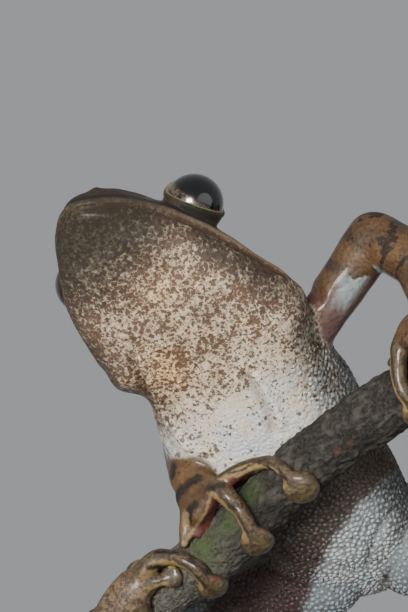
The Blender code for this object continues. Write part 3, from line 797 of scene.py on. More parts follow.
@dataclass(frozen=True)
class Arm:
    """One arm: its joints as the viewer sees them, and its hand on the branch."""

    side: Side
    shoulder: tuple
    elbow: tuple
    forearm_middle: tuple
    wrist: tuple
    palm: tuple
    palm_end: tuple
    upper_outer: tuple
    forearm_outer: tuple
    fingers: tuple
    web_reaches: tuple = ((0.30, 0.26), (0.24, 0.30), (0.30, 0.42))
    edges_of_hand: tuple = ()
    upper_radii: tuple = (2.6, 2.6, 2.9)
    forearm_radii: tuple = (2.9, 2.5, 1.9)
    hand_radii: tuple = (2.0, 2.4, 1.9)
    hand_flatness: float = 0.66

    def lengths(self) -> list:
        """Gives the upper arm, forearm and hand."""
        middle = tuple((np.array(self.shoulder) + np.array(self.elbow)) / 2.0)
        palm, facing = BRANCH_FORM.at(self.palm)
        palm_end = BRANCH_FORM.at(self.palm_end)[0]
        ahead = (0.0, 0.0, 1.0)
        edges = [Length(Region.HAND, [row[:3] for row in edge], [row[3] for row in edge], ahead,
                        0.6, ahead) for edge in self.edges_of_hand]
        return [
            Length(Region.UPPER_ARM, (self.shoulder, middle, self.elbow), self.upper_radii,
                   self.upper_outer),
            Length(Region.FOREARM, (self.elbow, self.forearm_middle, self.wrist),
                   self.forearm_radii, self.forearm_outer),
            Length(Region.HAND, (self.wrist, palm, palm_end), self.hand_radii, facing,
                   self.hand_flatness, facing), *edges]

    def digits(self) -> list:
        """Gives the fingers."""
        return [Digit(Region.FINGER, *sizes) for sizes in self.fingers]

    def joints(self) -> list:
        """Gives the places that are smoothed, each with a reach."""
        palm = BRANCH_FORM.at(self.palm)[0]
        return [(self.shoulder, 3.6), (self.elbow, 2.6), (self.wrist, 2.4), (palm, 2.2)]


@dataclass(frozen=True)
class Leg:
    """One leg: its joints as the viewer sees them, and its foot on the branch."""

    side: Side
    hip: tuple
    knee: tuple
    heel: tuple
    ankle: tuple
    foot_middle: tuple
    foot_end: tuple
    thigh_outer: tuple
    shank_outer: tuple
    toes: tuple
    web_reaches: tuple = ((0.42, 0.40), (0.40, 0.55), (0.55, 0.5), (0.5, 0.5))
    thigh_radii: tuple = (4.8, 4.6, 2.8)
    shank_radii: tuple = (2.6, 3.0, 1.8)
    tarsus_radii: tuple = (1.8, 1.6, 1.5)
    foot_radii: tuple = (1.6, 2.1, 2.0)
    foot_flatness: float = 0.66
    thigh_bulge: float = 0.45
    calf_bulge: float = 0.35

    def lengths(self) -> list:
        """Gives the thigh, shank, tarsus and foot."""
        hip, knee, heel = (np.array(place) for place in (self.hip, self.knee, self.heel))
        ankle, ankle_facing = BRANCH_FORM.at(self.ankle)
        middle, facing = BRANCH_FORM.at(self.foot_middle)
        foot_end = BRANCH_FORM.at(self.foot_end)[0]
        return [
            Length(Region.THIGH, (hip, hip + (knee - hip) * self.thigh_bulge, knee),
                   self.thigh_radii, self.thigh_outer, sides=36),
            Length(Region.SHANK, (knee, knee + (heel - knee) * self.calf_bulge, heel),
                   self.shank_radii, self.shank_outer),
            Length(Region.TARSUS, (heel, (heel + ankle) / 2.0, ankle), self.tarsus_radii,
                   ankle_facing),
            Length(Region.FOOT, (ankle, middle, foot_end), self.foot_radii, facing,
                   self.foot_flatness, facing)]

    def digits(self) -> list:
        """Gives the toes."""
        return [Digit(Region.TOE, *sizes) for sizes in self.toes]

    def joints(self) -> list:
        """Gives the places that are smoothed, each with a reach."""
        ankle = BRANCH_FORM.at(self.ankle)[0]
        middle = BRANCH_FORM.at(self.foot_middle)[0]
        return [(self.hip, 4.4), (self.knee, 3.0), (self.heel, 2.2), (ankle, 2.0), (middle, 2.0)]


LIMBS = (
    Arm(Side.RIGHT, (0.2, -11.8, -5.2), (-2.5, -14.9, -10.2), (-2, -16.4, -6.6),
        (-1.7, -17.9, -2.4), (-7.8, 6, 2), (-8.6, 16, 1.6),
        (-0.8, 0.1, -0.4), (-0.62, -0.2, 0.75),
        (((-6.6, 8, 1.4), ((-4.8, -10, 1.1),), (-3.4, -38), 1.15, 0.62),
         ((-4.6, 20, 2.1),
          ((-2, 22.8, 1.7), (-0.1, 30.7, 1.2), (1, 41.3, 1), (2.1, 67.3, 0.95)),
          (2.5, 109), 1.8, 0.62),
         ((-5.6, 18, 2.1), ((-4.8, 34.2, 1.8), (-4.4, 53, 1.3), (-4.2, 77.8, 1.05)),
          (-5, 121), 1.8, 0.85),
         ((-8.8, 14, 1.7), ((-10.6, -4, 1.3),), (-12.2, -38), 1.2, 0.8)),
        edges_of_hand=(
            ((-1.05, -17.9, -1.5, 2.15), (-1.2, -19.6, -0.6, 1.9), (-1.3, -21.3, -0.1, 1.3),
             (-2.1, -24.3, 0.7, 0.45)),
            ((0.4, -18.9, 1, 1), (0.5, -21.2, 0.6, 0.9), (-0.6, -23.1, 0.7, 0.6))),
        upper_radii=(2.5, 2.1, 2.05), forearm_radii=(2.05, 2, 1.9)),
    Arm(Side.LEFT, (10.4, -3.2, -1.2), (17.3, 6.9, 0.6), (21.2, 4, 4.6),
        (22.6, -1, 8.6), (21.6, 8, 1.9), (21, 22, 1.8),
        (-0.80, 0.58, 0.10), (0.35, 0.75, 0.5),
        (((20.8, 6, 1.5), ((19, 4, 1.1),), (17.4, 2), 1.15, 0.62),
         ((20.4, 12, 2.2), ((18.6, 30, 1.6), (17.2, 66, 1.1)), (16.8, 118), 1.7, 0.8),
         ((21.6, 16, 2.2), ((21.2, 40, 1.4), (21, 76, 1.1)), (20.9, 124), 1.8, 0.85),
         ((22.2, 14, 1.9), ((23.4, 26, 1.4), (24.2, 40, 1.1)), (24.6, 72), 1.4, 0.72))),
    Leg(Side.RIGHT, (12.8, -29.8, -17.2), (-11.2, -39.4, -28), (2, -45.1, -3.5),
        (-26.5, 90, 2.1), (-22.2, 68, 1.9), (-18.8, 56, 1.7),
        (-0.06, 0.59, -0.81), (-0.6, 0.5, -0.4),
        (((-18.9, 46, 1.4), ((-18.6, 18, 1.2),), (-18.4, -16), 1.05, 0.6),
         ((-17.4, 50, 1.8),
          ((-15.3, 44.8, 1.9), (-14.1, 48.2, 1.8), (-12.8, 59.7, 1.5), (-12, 77.6, 1.2),
           (-11.8, 94.1, 1.1)), (-12.2, 130), 1.6, 0.8),
         ((-17.8, 60.8, 1.5), ((-16.2, 66.7, 1.2),), (-14.7, 73.8), 1.12, 0.62),
         ((-19.6, 76, 1.5), ((-19.6, 108, 1.1),), (-19.2, 150), 1.5, 0.72),
         ((-21, 88, 1.4), ((-22.4, 122, 1.1),), (-22.8, 164), 1.4, 0.7))),
    Leg(Side.LEFT, (23, -27, -15.5), (39, -3, -12), (41.1, -12.4, 13.5),
        (38, 96, 2.1), (34.7, 74, 1.7), (31.4, 60, 1.6),
        (-0.06, 0.59, -0.81), (0.8, 0.5, -0.1),
        (((31.5, 46, 1.4), ((31.2, 18, 1.2),), (31, -16), 1.05, 0.6),
         ((30.8, 52, 1.7), ((29.4, 66, 1.4), (27.9, 92, 1.1)), (27, 136), 1.45, 0.75),
         ((31.4, 66, 1.5), ((31.1, 96, 1.1),), (30.6, 144), 1.5, 0.75),
         ((32.2, 78, 1.5), ((32.7, 110, 1.1),), (33.2, 158), 1.5, 0.72),
         ((33.6, 90, 1.4), ((34.4, 120, 1.1),), (36.2, 164), 1.3, 0.7))))


@dataclass(frozen=True)
class EyeForm:
    """One eyeball's place and size, and the way that it and its lids face."""

    side: Side
    spot: tuple = (10.1, 7.55, 4.1)
    radius: float = 2.95
    gaze: tuple = (0.2, 0.93, 0.22)
    lid_facing: tuple = (0.385, 0.81, 0.43)
    lid_base: float = 0.16
    lid_thickness: float = 0.22
    lower_opening: float = 84.0
    upper_opening: float = 60.0

    def centre(self) -> Array:
        """Gives the middle of the eyeball."""
        back, left, up = self.spot
        return BODY_FORM.place(back, left * self.side.value, up)

    def direction(self, parts: tuple) -> Array:
        """Turns parts of forward, outward and up into a direction."""
        forward, left, up = BODY_FORM.head_axes()
        return unit(forward * parts[0] + left * (parts[1] * self.side.value) + up * parts[2])

    def lid_shell(self) -> Shell:
        """Makes the ball that the lids are shaped from."""
        reach = self.radius + self.lid_base
        tilts = np.linspace(-math.pi / 2.0, math.pi / 2.0, 30)[1:-1]
        turns = turns_of(40)
        rings = np.stack([
            np.cos(tilts)[:, None] * np.cos(turns),
            np.cos(tilts)[:, None] * np.sin(turns),
            np.broadcast_to(np.sin(tilts)[:, None], (28, 40))], axis=2)
        centre = self.centre()
        pole = np.array([0.0, 0.0, reach])
        return loft(centre + rings * reach, centre - pole, centre + pole)

    def from_opening(self, points: Array) -> tuple[Array, Array, Array]:
        """Finds where places lie about the eye.

        Args:
            points: places in the viewer's millimetres.

        Returns:
            Degrees outward from the lids' edge, degrees from the lids' middle, and the
            distance from the eyeball's middle.
        """
        offset = points - self.centre()
        away = np.linalg.norm(offset, axis=1)
        facing = unit(offset)
        lid_axis = self.direction(self.lid_facing)
        upward = self.direction((0.0, 0.0, 1.0))
        upward = unit(upward - lid_axis * np.dot(upward, lid_axis))
        turn = np.degrees(np.arccos(np.clip(facing @ lid_axis, -1.0, 1.0)))
        flat = facing - (facing @ lid_axis)[:, None] * lid_axis
        rise = (flat @ upward) / np.maximum(np.linalg.norm(flat, axis=1), 1e-6)
        opening = self.lower_opening + (self.upper_opening - self.lower_opening) * ramp(
            -0.1, 0.9, rise)
        return turn - opening, turn, away

    def shape_lids(self, points: Array) -> Array:
        """Moves the skin round the eyeball, and opens it in front of the eye.

        Args:
            points: the skin's corners.

        Returns:
            The corners' new places.
        """
        past, turn, away = self.from_opening(points)
        facing = unit(points - self.centre())
        near = away < self.radius + 2.2
        open_part = fall(-5, 3, past)
        rim = self.radius + self.lid_thickness * hump(past - 7.0, 7.0) + 0.08
        covered = np.maximum(away, np.where(past > 0.0, rim, away))
        wanted = covered * (1.0 - open_part) + (self.radius - 0.55) * open_part
        moved = self.centre() + facing * wanted[:, None]
        return np.where((near & (turn < 130.0))[:, None], moved, points)


EYES = (EyeForm(Side.LEFT), EyeForm(Side.RIGHT))


def distance_to_line(points: Array, line: Array) -> Array:
    """Gives how far places are from a line of straight stretches.

    Args:
        points: the places.
        line: the line's own places, in order.

    Returns:
        One distance for each place.
    """
    best = np.full(len(points), FAR_AWAY)
    for start, end in zip(line, line[1:]):
        span = end - start
        part = np.clip((points - start) @ span / np.dot(span, span), 0.0, 1.0)
        best = np.minimum(best, away_from(points, start + part[:, None] * span))
    return best


def wobble(points: Array, size: float, seed: float) -> Array:
    """Gives a smooth random value at each place, with waves of a size in millimetres."""
    shifted = points / size + seed
    return np.array([noise.noise(Vector(row)) for row in shifted]) * 1.6


@dataclass(frozen=True)
class Fold:
    """A raised fold or sunken furrow on the frog's front, as the viewer sees it: places right and
    up.
    """

    line: tuple
    height: float
    width: float

    def raise_at(self, points: Array, normals: Array) -> Array:
        """Gives how far each place moves outward."""
        flat, line = points[:, :2], np.array(self.line)
        ends = np.minimum(away_from(flat, line[0]), away_from(flat, line[-1]))
        fade = ramp(0, 1.2, ends)
        facing = ramp(0.05, 0.45, normals[:, 2])
        return self.height * hump(distance_to_line(flat, line), self.width) * facing * fade


@dataclass(frozen=True)
class Dent:
    """A soft hollow or swelling, as the viewer sees it: its place, depth, width and turn."""

    spot: tuple
    depth: float
    width: tuple
    turn: float = 0.0

    def raise_at(self, points: Array) -> Array:
        """Gives how far each place moves outward."""
        right, up = (points[:, :2] - np.array(self.spot)).T
        turn = math.radians(self.turn)
        along = right * math.cos(turn) + up * math.sin(turn)
        across = up * math.cos(turn) - right * math.sin(turn)
        return -self.depth * hump(np.hypot(along / self.width[0], across / self.width[1]), 1.0)


@dataclass
class SkinForm:
    """The whole frog's skin as one closed surface."""

    voxel: float = 0.2
    quick_voxel: float = 0.34
    triangles: int = 190_000
    folds: tuple = (
        Fold(((-6.8, -4.4), (-5.9, -6.6), (-5.2, -8.6), (-4.4, -10.8), (-1.2, -15.2)), 0.5, 0.4),
        Fold(((-7.5, -5.2), (-6.6, -7.2), (-5.9, -9.2), (-5, -11.6), (-1.9, -15.8)), -0.6, 0.4),
        Fold(((3.7, -6.2), (5.2, -8.4), (6.5, -10.8), (7.2, -13.6)), -0.38, 0.4),
        Fold(((4.7, -6.2), (6.2, -8.4), (7.5, -10.8), (8, -13)), 0.3, 0.5),
        Fold(((3.4, 3.9), (6.6, 3.2)), -0.16, 0.35),
        Fold(((9.3, 1.4), (10.7, -0.2)), -0.25, 0.4),
        Fold(((12.3, -4.5), (14.2, -7.2)), 0.22, 0.4),
        Fold(((20.3, -21), (18.2, -24.5), (17.2, -28.8)), -0.45, 0.45),
        Fold(((10, -26.8), (13.6, -27.6), (17.2, -28.8)), -0.45, 0.45))
    dents: tuple = (
        Dent((-6.6, -10.6), 1.1, (1.6, 2.2)),
        Dent((-8.6, -8.2), -0.45, (1.6, 1.3)))
    snout_ridge: tuple = ((2.4, 62), (4.6, 50), (7.4, 46))
    ear_fold: tuple = ((13, 38), (16, 47), (19.2, 45), (21.8, 30), (24, 12))
    ear: tuple = (18, 31.5)

    def bones(self) -> list:
        """Gives the middle lines of all limbs and digits."""
        found = []
        for limb in LIMBS:
            along = 0.0
            for length in limb.lengths():
                bone = length.bone(limb.side)
                found.append(replace(bone, start=along))
                along += float(np.linalg.norm(np.diff(bone.places, axis=0), axis=1).sum())
            found += [digit.bone(limb.side) for digit in limb.digits()]
        return found

    def rough(self) -> Piece:
        """Joins body, limbs, digits, webs and lids into one plain surface."""
        whole = BODY_FORM.shell()
        for limb in LIMBS:
            digits = limb.digits()
            for part in [*limb.lengths(), *digits]:
                whole = whole.joined(part.shell())
            for first, second, reach in zip(digits, digits[1:], limb.web_reaches):
                whole = whole.joined(Web(first, second, *reach).shell())
        for eye in EYES:
            whole = whole.joined(eye.lid_shell())
        piece = make_mesh("frog_skin", whole)
        remesh = piece.modifiers.new("one_surface", 'REMESH')
        remesh.mode = 'VOXEL'
        remesh.voxel_size = self.voxel * MM
        return applied(piece)

    def ease(self, points: Array, edges: Array) -> Array:
        """Rounds the corners where lengths meet, and the steps that joining leaves.

        Args:
            points: the skin's corners.
            edges: the pairs of corners that its edges join.

        Returns:
            The corners' new places.
        """
        near = np.zeros(len(points))
        for limb in LIMBS:
            for place, reach in limb.joints():
                away = away_from(points, place)
                near = np.maximum(near, fall(reach * 0.9, reach * 1.7, away))
        points = relax(points, edges, np.full(len(points), 0.8), 4)
        return relax(points, edges, near, 50)

    def shape_head(self, points: Array, outside: Array) -> Array:
        """Shapes lips, ridges, ears and nostrils.

        Args:
            points: the skin's corners.
            outside: how far outside the body each one is.

        Returns:
            How far each corner moves outward.
        """
        back, _, up = BODY_FORM.head_coordinates(points).T
        on_body = fall(0.8, 1.6, outside)
        on_head = fall(21, 24, back) * on_body
        lips = fall(19.5, 22, back) * on_head
        ledge = 0.17 - 0.12 * ramp(12, 18, back)
        moved = lips * (
            ledge * ramp(-0.05, 0.2, up) * fall(0.45, 1.2, up)
            - 0.32 * hump(up + 0.16, 0.20)
            - 0.20 * ramp(-2.4, -0.4, up) * fall(-0.35, 0.05, up))
        behind_eye = ramp(13, 16.5, back) * fall(24, 29, back)
        moved -= 0.6 * behind_eye * ramp(0.2, 1.6, up) * fall(4, 6, up) * on_body

        def spot(side: Side, distance: float, turn: float) -> Array:
            """Gives a place on the head, at degrees up from the lip on one side."""
            share = (180.0 - turn if side is Side.RIGHT else turn) / 180.0
            return BODY_FORM.ring(distance)[int(round(share * BODY_FORM.half_ring_points))]

        def near(place: Array, width: float) -> Array:
            """Gives a bell round a place."""
            return hump(away_from(points, place), width)

        for side in Side:
            ridge, fold = ([spot(side, *place) for place in line]
                           for line in (self.snout_ridge, self.ear_fold))
            moved += 0.28 * hump(distance_to_line(points, ridge), 0.7) * on_head
            moved -= 0.30 * near(spot(side, 5.6, 20.0), 1.7) * on_head * ramp(0.9, 1.8, up)
            moved += 0.24 * hump(distance_to_line(points, fold), 0.55)
            ear = away_from(points, spot(side, *self.ear))
            moved += -0.16 * hump(ear - 1.75, 0.26) + 0.12 * hump(ear - 2.15, 0.3)
            moved -= 0.10 * fall(1.4, 1.75, ear) * (1.0 - ramp(0, 0.9, ear) * 0.8)
            moved += 0.34 * near(BODY_FORM.place(1.9, 2.1 * side.value, 2.9), 0.72)
            moved -= 0.55 * near(BODY_FORM.place(1.85, 2.62 * side.value, 3.1), 0.26)
        wrinkles = on_head * hump(np.linalg.norm(
            (points[:, :2] - np.array([3.6, 4.6])) / np.array([3.2, 1.4]), axis=1), 1.0)
        return moved + 0.055 * np.sin(2.0 * math.pi * up / 0.62) * wrinkles

    def build(self) -> Piece:
        """Makes the skin with its folds, lids, lips and small unevenness."""
        piece = self.rough()
        edges = read_rows(piece.data.edges, "vertices", 2, np.int32)
        points = self.ease(places_of(piece), edges)
        move_corners(piece, points)
        normals = facings_of(piece)
        outside = BODY_FORM.coordinates(points)[3]
        moved = self.shape_head(points, outside)
        for fold in self.folds:
            moved += fold.raise_at(points, normals)
        for dent in self.dents:
            moved += dent.raise_at(points) * fall(0.8, 1.6, outside)
        moved += 0.10 * wobble(points, 4.0, 3.1) + 0.04 * wobble(points, 1.4, 8.7)
        points = points + normals * moved[:, None]
        for eye in EYES:
            points = eye.shape_lids(points)
        move_corners(piece, points)
        count = triangles_of(piece)
        if count > self.triangles:
            thinner = piece.modifiers.new("fewer_faces", 'DECIMATE')
            thinner.ratio = self.triangles / count
            applied(piece)
        piece.data.shade_smooth()
        return piece


@dataclass(frozen=True)
class Marks:
    """Strokes of one tone on the right hand, as the viewer sees them: half widths and lines."""

    name: str
    strokes: tuple

    def values(self, seen: Array, ragged: Array) -> Array:
        """Gives how strongly each place is marked, with ragged edges.

        Args:
            seen: places right and up, as the viewer sees them.
            ragged: a small random shift of the edge at each place.

        Returns:
            One value from 0 to 1 for each place.
        """
        found = np.zeros(len(seen))
        for width, *line in self.strokes:
            away = distance_to_line(seen, np.array(line)) + ragged
            found = np.maximum(found, fall(width * 0.75, width * 1.3, away))
        return found


@dataclass(frozen=True)
class Markings:
    """Where each corner of the skin lies on the frog, stored for the finishes to read."""

    form: SkinForm
    hand_marks: tuple = (
        Marks("ink", (
            (0.28, (-3.1, -16.3), (-3.2, -17), (-3.3, -17.5)),
            (0.36, (-2.9, -19.8), (-2.3, -18.8), (-1.5, -18), (-0.6, -17.5)),
            (0.34, (-1.5, -22), (-1.6, -21.5), (-1.4, -20.7), (-0.8, -20.2)),
            (0.28, (0.4, -18.7), (2, -18.2)),
            (0.26, (2.7, -20.4), (3.2, -20.7)),
            (0.24, (-1.5, -25.9), (-0.6, -26.6), (0.3, -27.3)),
            (0.24, (-5.7, -26.7), (-4.7, -26.6), (-3.8, -26.8)),
            (0.16, (-5, -25.2), (-3.8, -25.1), (-2.6, -25.3)),
            (0.11, (2.2, -17.2), (3.7, -16.8), (5.1, -16), (5.9, -16), (7.1, -16.9),
             (8.4, -17.7)))),
        Marks("cream_line", (
            (0.15, (0.8, -19.1), (0.2, -21), (-1, -22.8), (-2, -24.3)),
            (0.13, (1.1, -19.3), (2.2, -20.9), (3.4, -22), (4, -23.4)),
            (0.14, (3.3, -17.4), (5.3, -16.4), (6.3, -16.6), (7.5, -17.6), (8.2, -18.5)),
            (0.32, (-1.9, -21.3), (-1.8, -22.4)))),
        Marks("red_web", (
            (0.50, (1, -19.9), (1, -20.9), (0.3, -22.1), (-0.5, -23.2)),
            (0.62, (2.9, -18), (4, -18.1), (4.9, -17.4)))))
    # Line along the branch's lower edge, as the viewer sees it: a band of painted shadow from the
    # branch lies along it, ending in the red-brown groin.
    branch_shadow_line: tuple = ((4, -32.5), (6.2, -30), (7.2, -26.9), (8.8, -24.4), (10.8, -21.8),
                    (13.9, -18.8), (17.4, -16), (20.8, -14.2))
    back_lines: tuple = (0.24, 0.62)
    # Middles of the painted warm highlight on the breast and the throat.
    breast: tuple = (-3.7, -6.5)
    throat: tuple = (-4.6, 1.6)

    def store(self, piece: Piece) -> None:
        """Works out the skin's values and stores them on its mesh.

        Args:
            piece: the finished skin.
        """
        points = places_of(piece)
        turned = facings_of(piece)
        step, left, up, outside = BODY_FORM.coordinates(points)
        widths = np.array([BODY_FORM.half_width(value) for value in np.arange(0.0, 62.2, 0.1)])
        width = np.maximum(widths[np.round(step * 10.0).astype(int)], 0.5)
        limb = self.limb_values(points, outside)
        off_limb = 1.0 - limb["on_limb"]
        across = np.abs(left) / width
        high = up / np.where(up > 0.0, 7.0 - 5.6 * ramp(48, 61, step), 6.0)
        lines = np.min([np.abs(across - place) for place in self.back_lines], axis=0) * width
        lines += 3.0 * (1.0 - ramp(15, 20, step) * fall(54, 59, step)
                        * ramp(1.5, 3.5, up) * off_limb)
        in_head = fall(20.5, 23, step) * off_limb
        lip_height = (BODY_FORM.head_coordinates(points)[:, 2] * in_head
                      + (1.0 - in_head) * np.where(up > 0.0, 6.0, -6.0))
        mottle = 1.06 - 0.66 * ramp(18, 30, step) - 0.16 * ramp(30, 40, step)
        mottle += 0.25 * ramp(0.45, 1, across) * fall(30, 38, step)
        mottle += 0.16 * fall(-9, -4, points[:, 0]) * ramp(18, 24, step)
        mottle -= 0.34 * ramp(27, 33, step)
        clusters = 0.68 * ramp(26, 31, step) * fall(36, 43, step)
        clusters *= 1.0 - 0.5 * ramp(-2, 4, points[:, 0])
        # Painted shade where the surface turns from the light: darker towards the snout, along the
        # head's rim, down the body's left side under the arm and on the right of the neck. At the
        # snout it is partly the skin's own dark olive.
        olive_and_shade = np.max([
            fall(1.5, 13.5, step), 0.6 * ramp(0.66, 1, across) * fall(18, 28, step),
            0.62 * ramp(0.5, 0.95, left / width) * ramp(18, 28, step),
            0.5 * ramp(0.35, 0.95, -left / width) * ramp(16, 23, step)
            * fall(25, 32, step)], axis=0) * off_limb
        lid = np.full(len(points), 60.0)
        for eye in EYES:
            past, _, away = eye.from_opening(points)
            lid = np.where(away < eye.radius + 0.9, past, lid)
        chest_side = ramp(24, 28, step) * ramp(0.45, 0.75, left / width) * off_limb
        granular = np.max([
            ramp(36, 42, step) * fall(-0.35, 0.1, high) * off_limb,
            0.5 * chest_side * fall(0.1, 0.5, high), limb["granular"]], axis=0)
        # Painted shadow of the branch on the belly and thigh: a band along the branch's lower
        # edge, wider towards the groin, where the skin is also red-brown.
        seen = points[:, :2] / (1.0 - points[:, 2:] / VIEW.distance)
        wide = 1.6 + 2.6 * fall(-30, -15, seen[:, 1])
        blush_and_shadow = fall(0.7, 1.3, distance_to_line(seen, np.array(self.branch_shadow_line)) / wide)
        blush_and_shadow *= ramp(-0.45, -0.05, turned[:, 2]) * (1.0 - limb["digit"] * limb["on_limb"])
        blush_and_shadow *= 1.0 - ramp(0.1, 0.4, high) * off_limb
        folds = [fold.raise_at(points, turned) for fold in self.form.folds]
        shown = ramp(-0.1, 0.2, turned[:, 2]) * limb["right_hand"] * limb["on_limb"]
        ragged = 0.10 * wobble(points, 0.5, 5.5)
        # Painted highlight: a warm pool of light on the breast and the throat.
        golden = sum(share * hump(away_from(points[:, :2], place), reach)
                     for share, place, reach in ((1.0, self.breast, 2.3), (0.6, self.throat, 2.2)))
        values = {
            **limb, **{mark.name: mark.values(seen, ragged) * shown for mark in self.hand_marks},
            "step": step, "across": across, "lines": lines, "lip_height": lip_height,
            "mottle": mottle, "clusters": clusters, "flank": ramp(0.05, 0.42, high),
            "olive_and_shade": olive_and_shade, "granular": granular, "lid": lid, "blush_and_shadow": blush_and_shadow,
            # Where the painted shadow band turns red-brown, low near the groin.
            "shadow_red_share": fall(-28, -22, seen[:, 1]),
            # Painted shade in the folds' creases, and painted highlight on their crests.
            "crease": 2.0 * np.maximum(-np.min(folds, axis=0), 0.0),
            "crest_light": 2.0 * np.maximum(np.max(folds, axis=0), 0.0),
            "golden": golden * ramp(0, 0.3, -high) * off_limb}
        for name, numbers in values.items():
            add_values(piece, name, numbers)

    def limb_values(self, points: Array, body_outside: Array) -> dict:
        """Finds the nearest length of limb and where each place lies on it.

        Args:
            points: the skin's corners in the viewer's millimetres.
            body_outside: how far outside the body each one is.

        Returns:
            Values by name, each one number for each place.
        """
        best = np.full(len(points), FAR_AWAY)
        names = ("outer", "sideways", "along", "disc", "digit", "bars", "granular", "inner_arm",
                 "pale_foot", "right_hand")
        found = {name: np.zeros(len(points)) for name in names}
        for bone in self.form.bones():
            along = bone.start
            same = {
                "inner_arm": bone.region is Region.UPPER_ARM,
                "pale_foot": bone.region in (Region.FOOT, Region.TARSUS),
                "right_hand": bone.side is Side.RIGHT and bone.region in (
                    Region.FOREARM, Region.HAND, Region.FINGER, Region.UPPER_ARM, Region.TOE),
                "digit": bone.region in (Region.FINGER, Region.TOE),
                "bars": BARRED.get(bone.region, 0.0)}
            for index, (start, end) in enumerate(zip(bone.places, bone.places[1:])):
                span = end - start
                length = float(np.linalg.norm(span))
                reach = max(bone.radii[index], bone.radii[index + 1]) + 3.0 + length
                close = np.flatnonzero(away_from(points, start) < reach)
                near = points[close]
                part = np.clip((near - start) @ span / length ** 2, 0.0, 1.0)
                offset = near - (start + part[:, None] * span)
                away = np.linalg.norm(offset, axis=1)
                radius = bone.radii[index] * (1 - part) + bone.radii[index + 1] * part
                closer = away - radius < best[close]
                close, part, offset, away = (
                    values[closer] for values in (close, part, offset, away))
                best[close] = away - radius[closer]
                radial = offset / np.maximum(away, 1e-6)[:, None]
                ahead = span / length
                outer = unit(bone.outer[index] - ahead * np.dot(bone.outer[index], ahead))
                facing = radial @ outer + BROWNER.get(bone.region, 0.0)
                here = {
                    **same, "outer": facing, "sideways": radial @ np.cross(outer, ahead),
                    "along": along + part * length,
                    "disc": 0.0 if bone.disc is None else bone.disc[index],
                    "granular": (bone.region is Region.THIGH) * ramp(-0.1, 0.35, -facing)}
                for name, values in here.items():
                    found[name][close] = values
                along += length
        found["on_limb"] = ramp(-0.5, 0.5, body_outside - best)
        found["web"] = ramp(0.22, 0.45, best) * (1.0 - found["disc"]) * found["digit"]
        found["granular"] *= found["on_limb"]
        return found


Colour = tuple[float, float, float]


def tint(red: float, green: float, blue: float) -> Colour:
    """Turns a colour as a screen shows it, 0 to 255, into the values that shaders use."""
    return tuple((value / 255.0) ** 2.2 for value in (red, green, blue))


@dataclass(frozen=True, eq=False)
class Value:
    """A number, colour or place that a node works out. Sums and products of it add nodes."""

    graph: "Graph"
    socket: bpy.types.NodeSocket

    def __add__(self, other: object) -> "Value":
        """Adds a number."""
        return self.graph.calc('ADD', self, other)

    def __sub__(self, other: object) -> "Value":
        """Takes a number away."""
        return self.graph.calc('SUBTRACT', self, other)

    def __rsub__(self, other: object) -> "Value":
        """Takes this away from a number."""
        return self.graph.calc('SUBTRACT', other, self)

    def __mul__(self, other: object) -> "Value":
        """Multiplies by a number."""
        return self.graph.calc('MULTIPLY', self, other)

    def __abs__(self) -> "Value":
        """Drops the sign."""
        return self.graph.calc('ABSOLUTE', self)

    def most(self, other: object) -> "Value":
        """Gives the greater of two numbers."""
        return self.graph.calc('MAXIMUM', self, other)

    def rise(self, low: float, high: float) -> "Value":
        """Gives 0 below low, 1 above high and a smooth rise between."""
        return self.graph.node('ShaderNodeMapRange', {
            'Value': self, 'From Min': low, 'From Max': high}, interpolation_type='SMOOTHSTEP')

    def fall(self, low: float, high: float) -> "Value":
        """Gives 1 below low, 0 above high and a smooth fall between."""
        return 1.0 - self.rise(low, high)

    def beside(self, output: str) -> "Value":
        """Gives another output of the same node."""
        return Value(self.graph, self.socket.node.outputs[output])


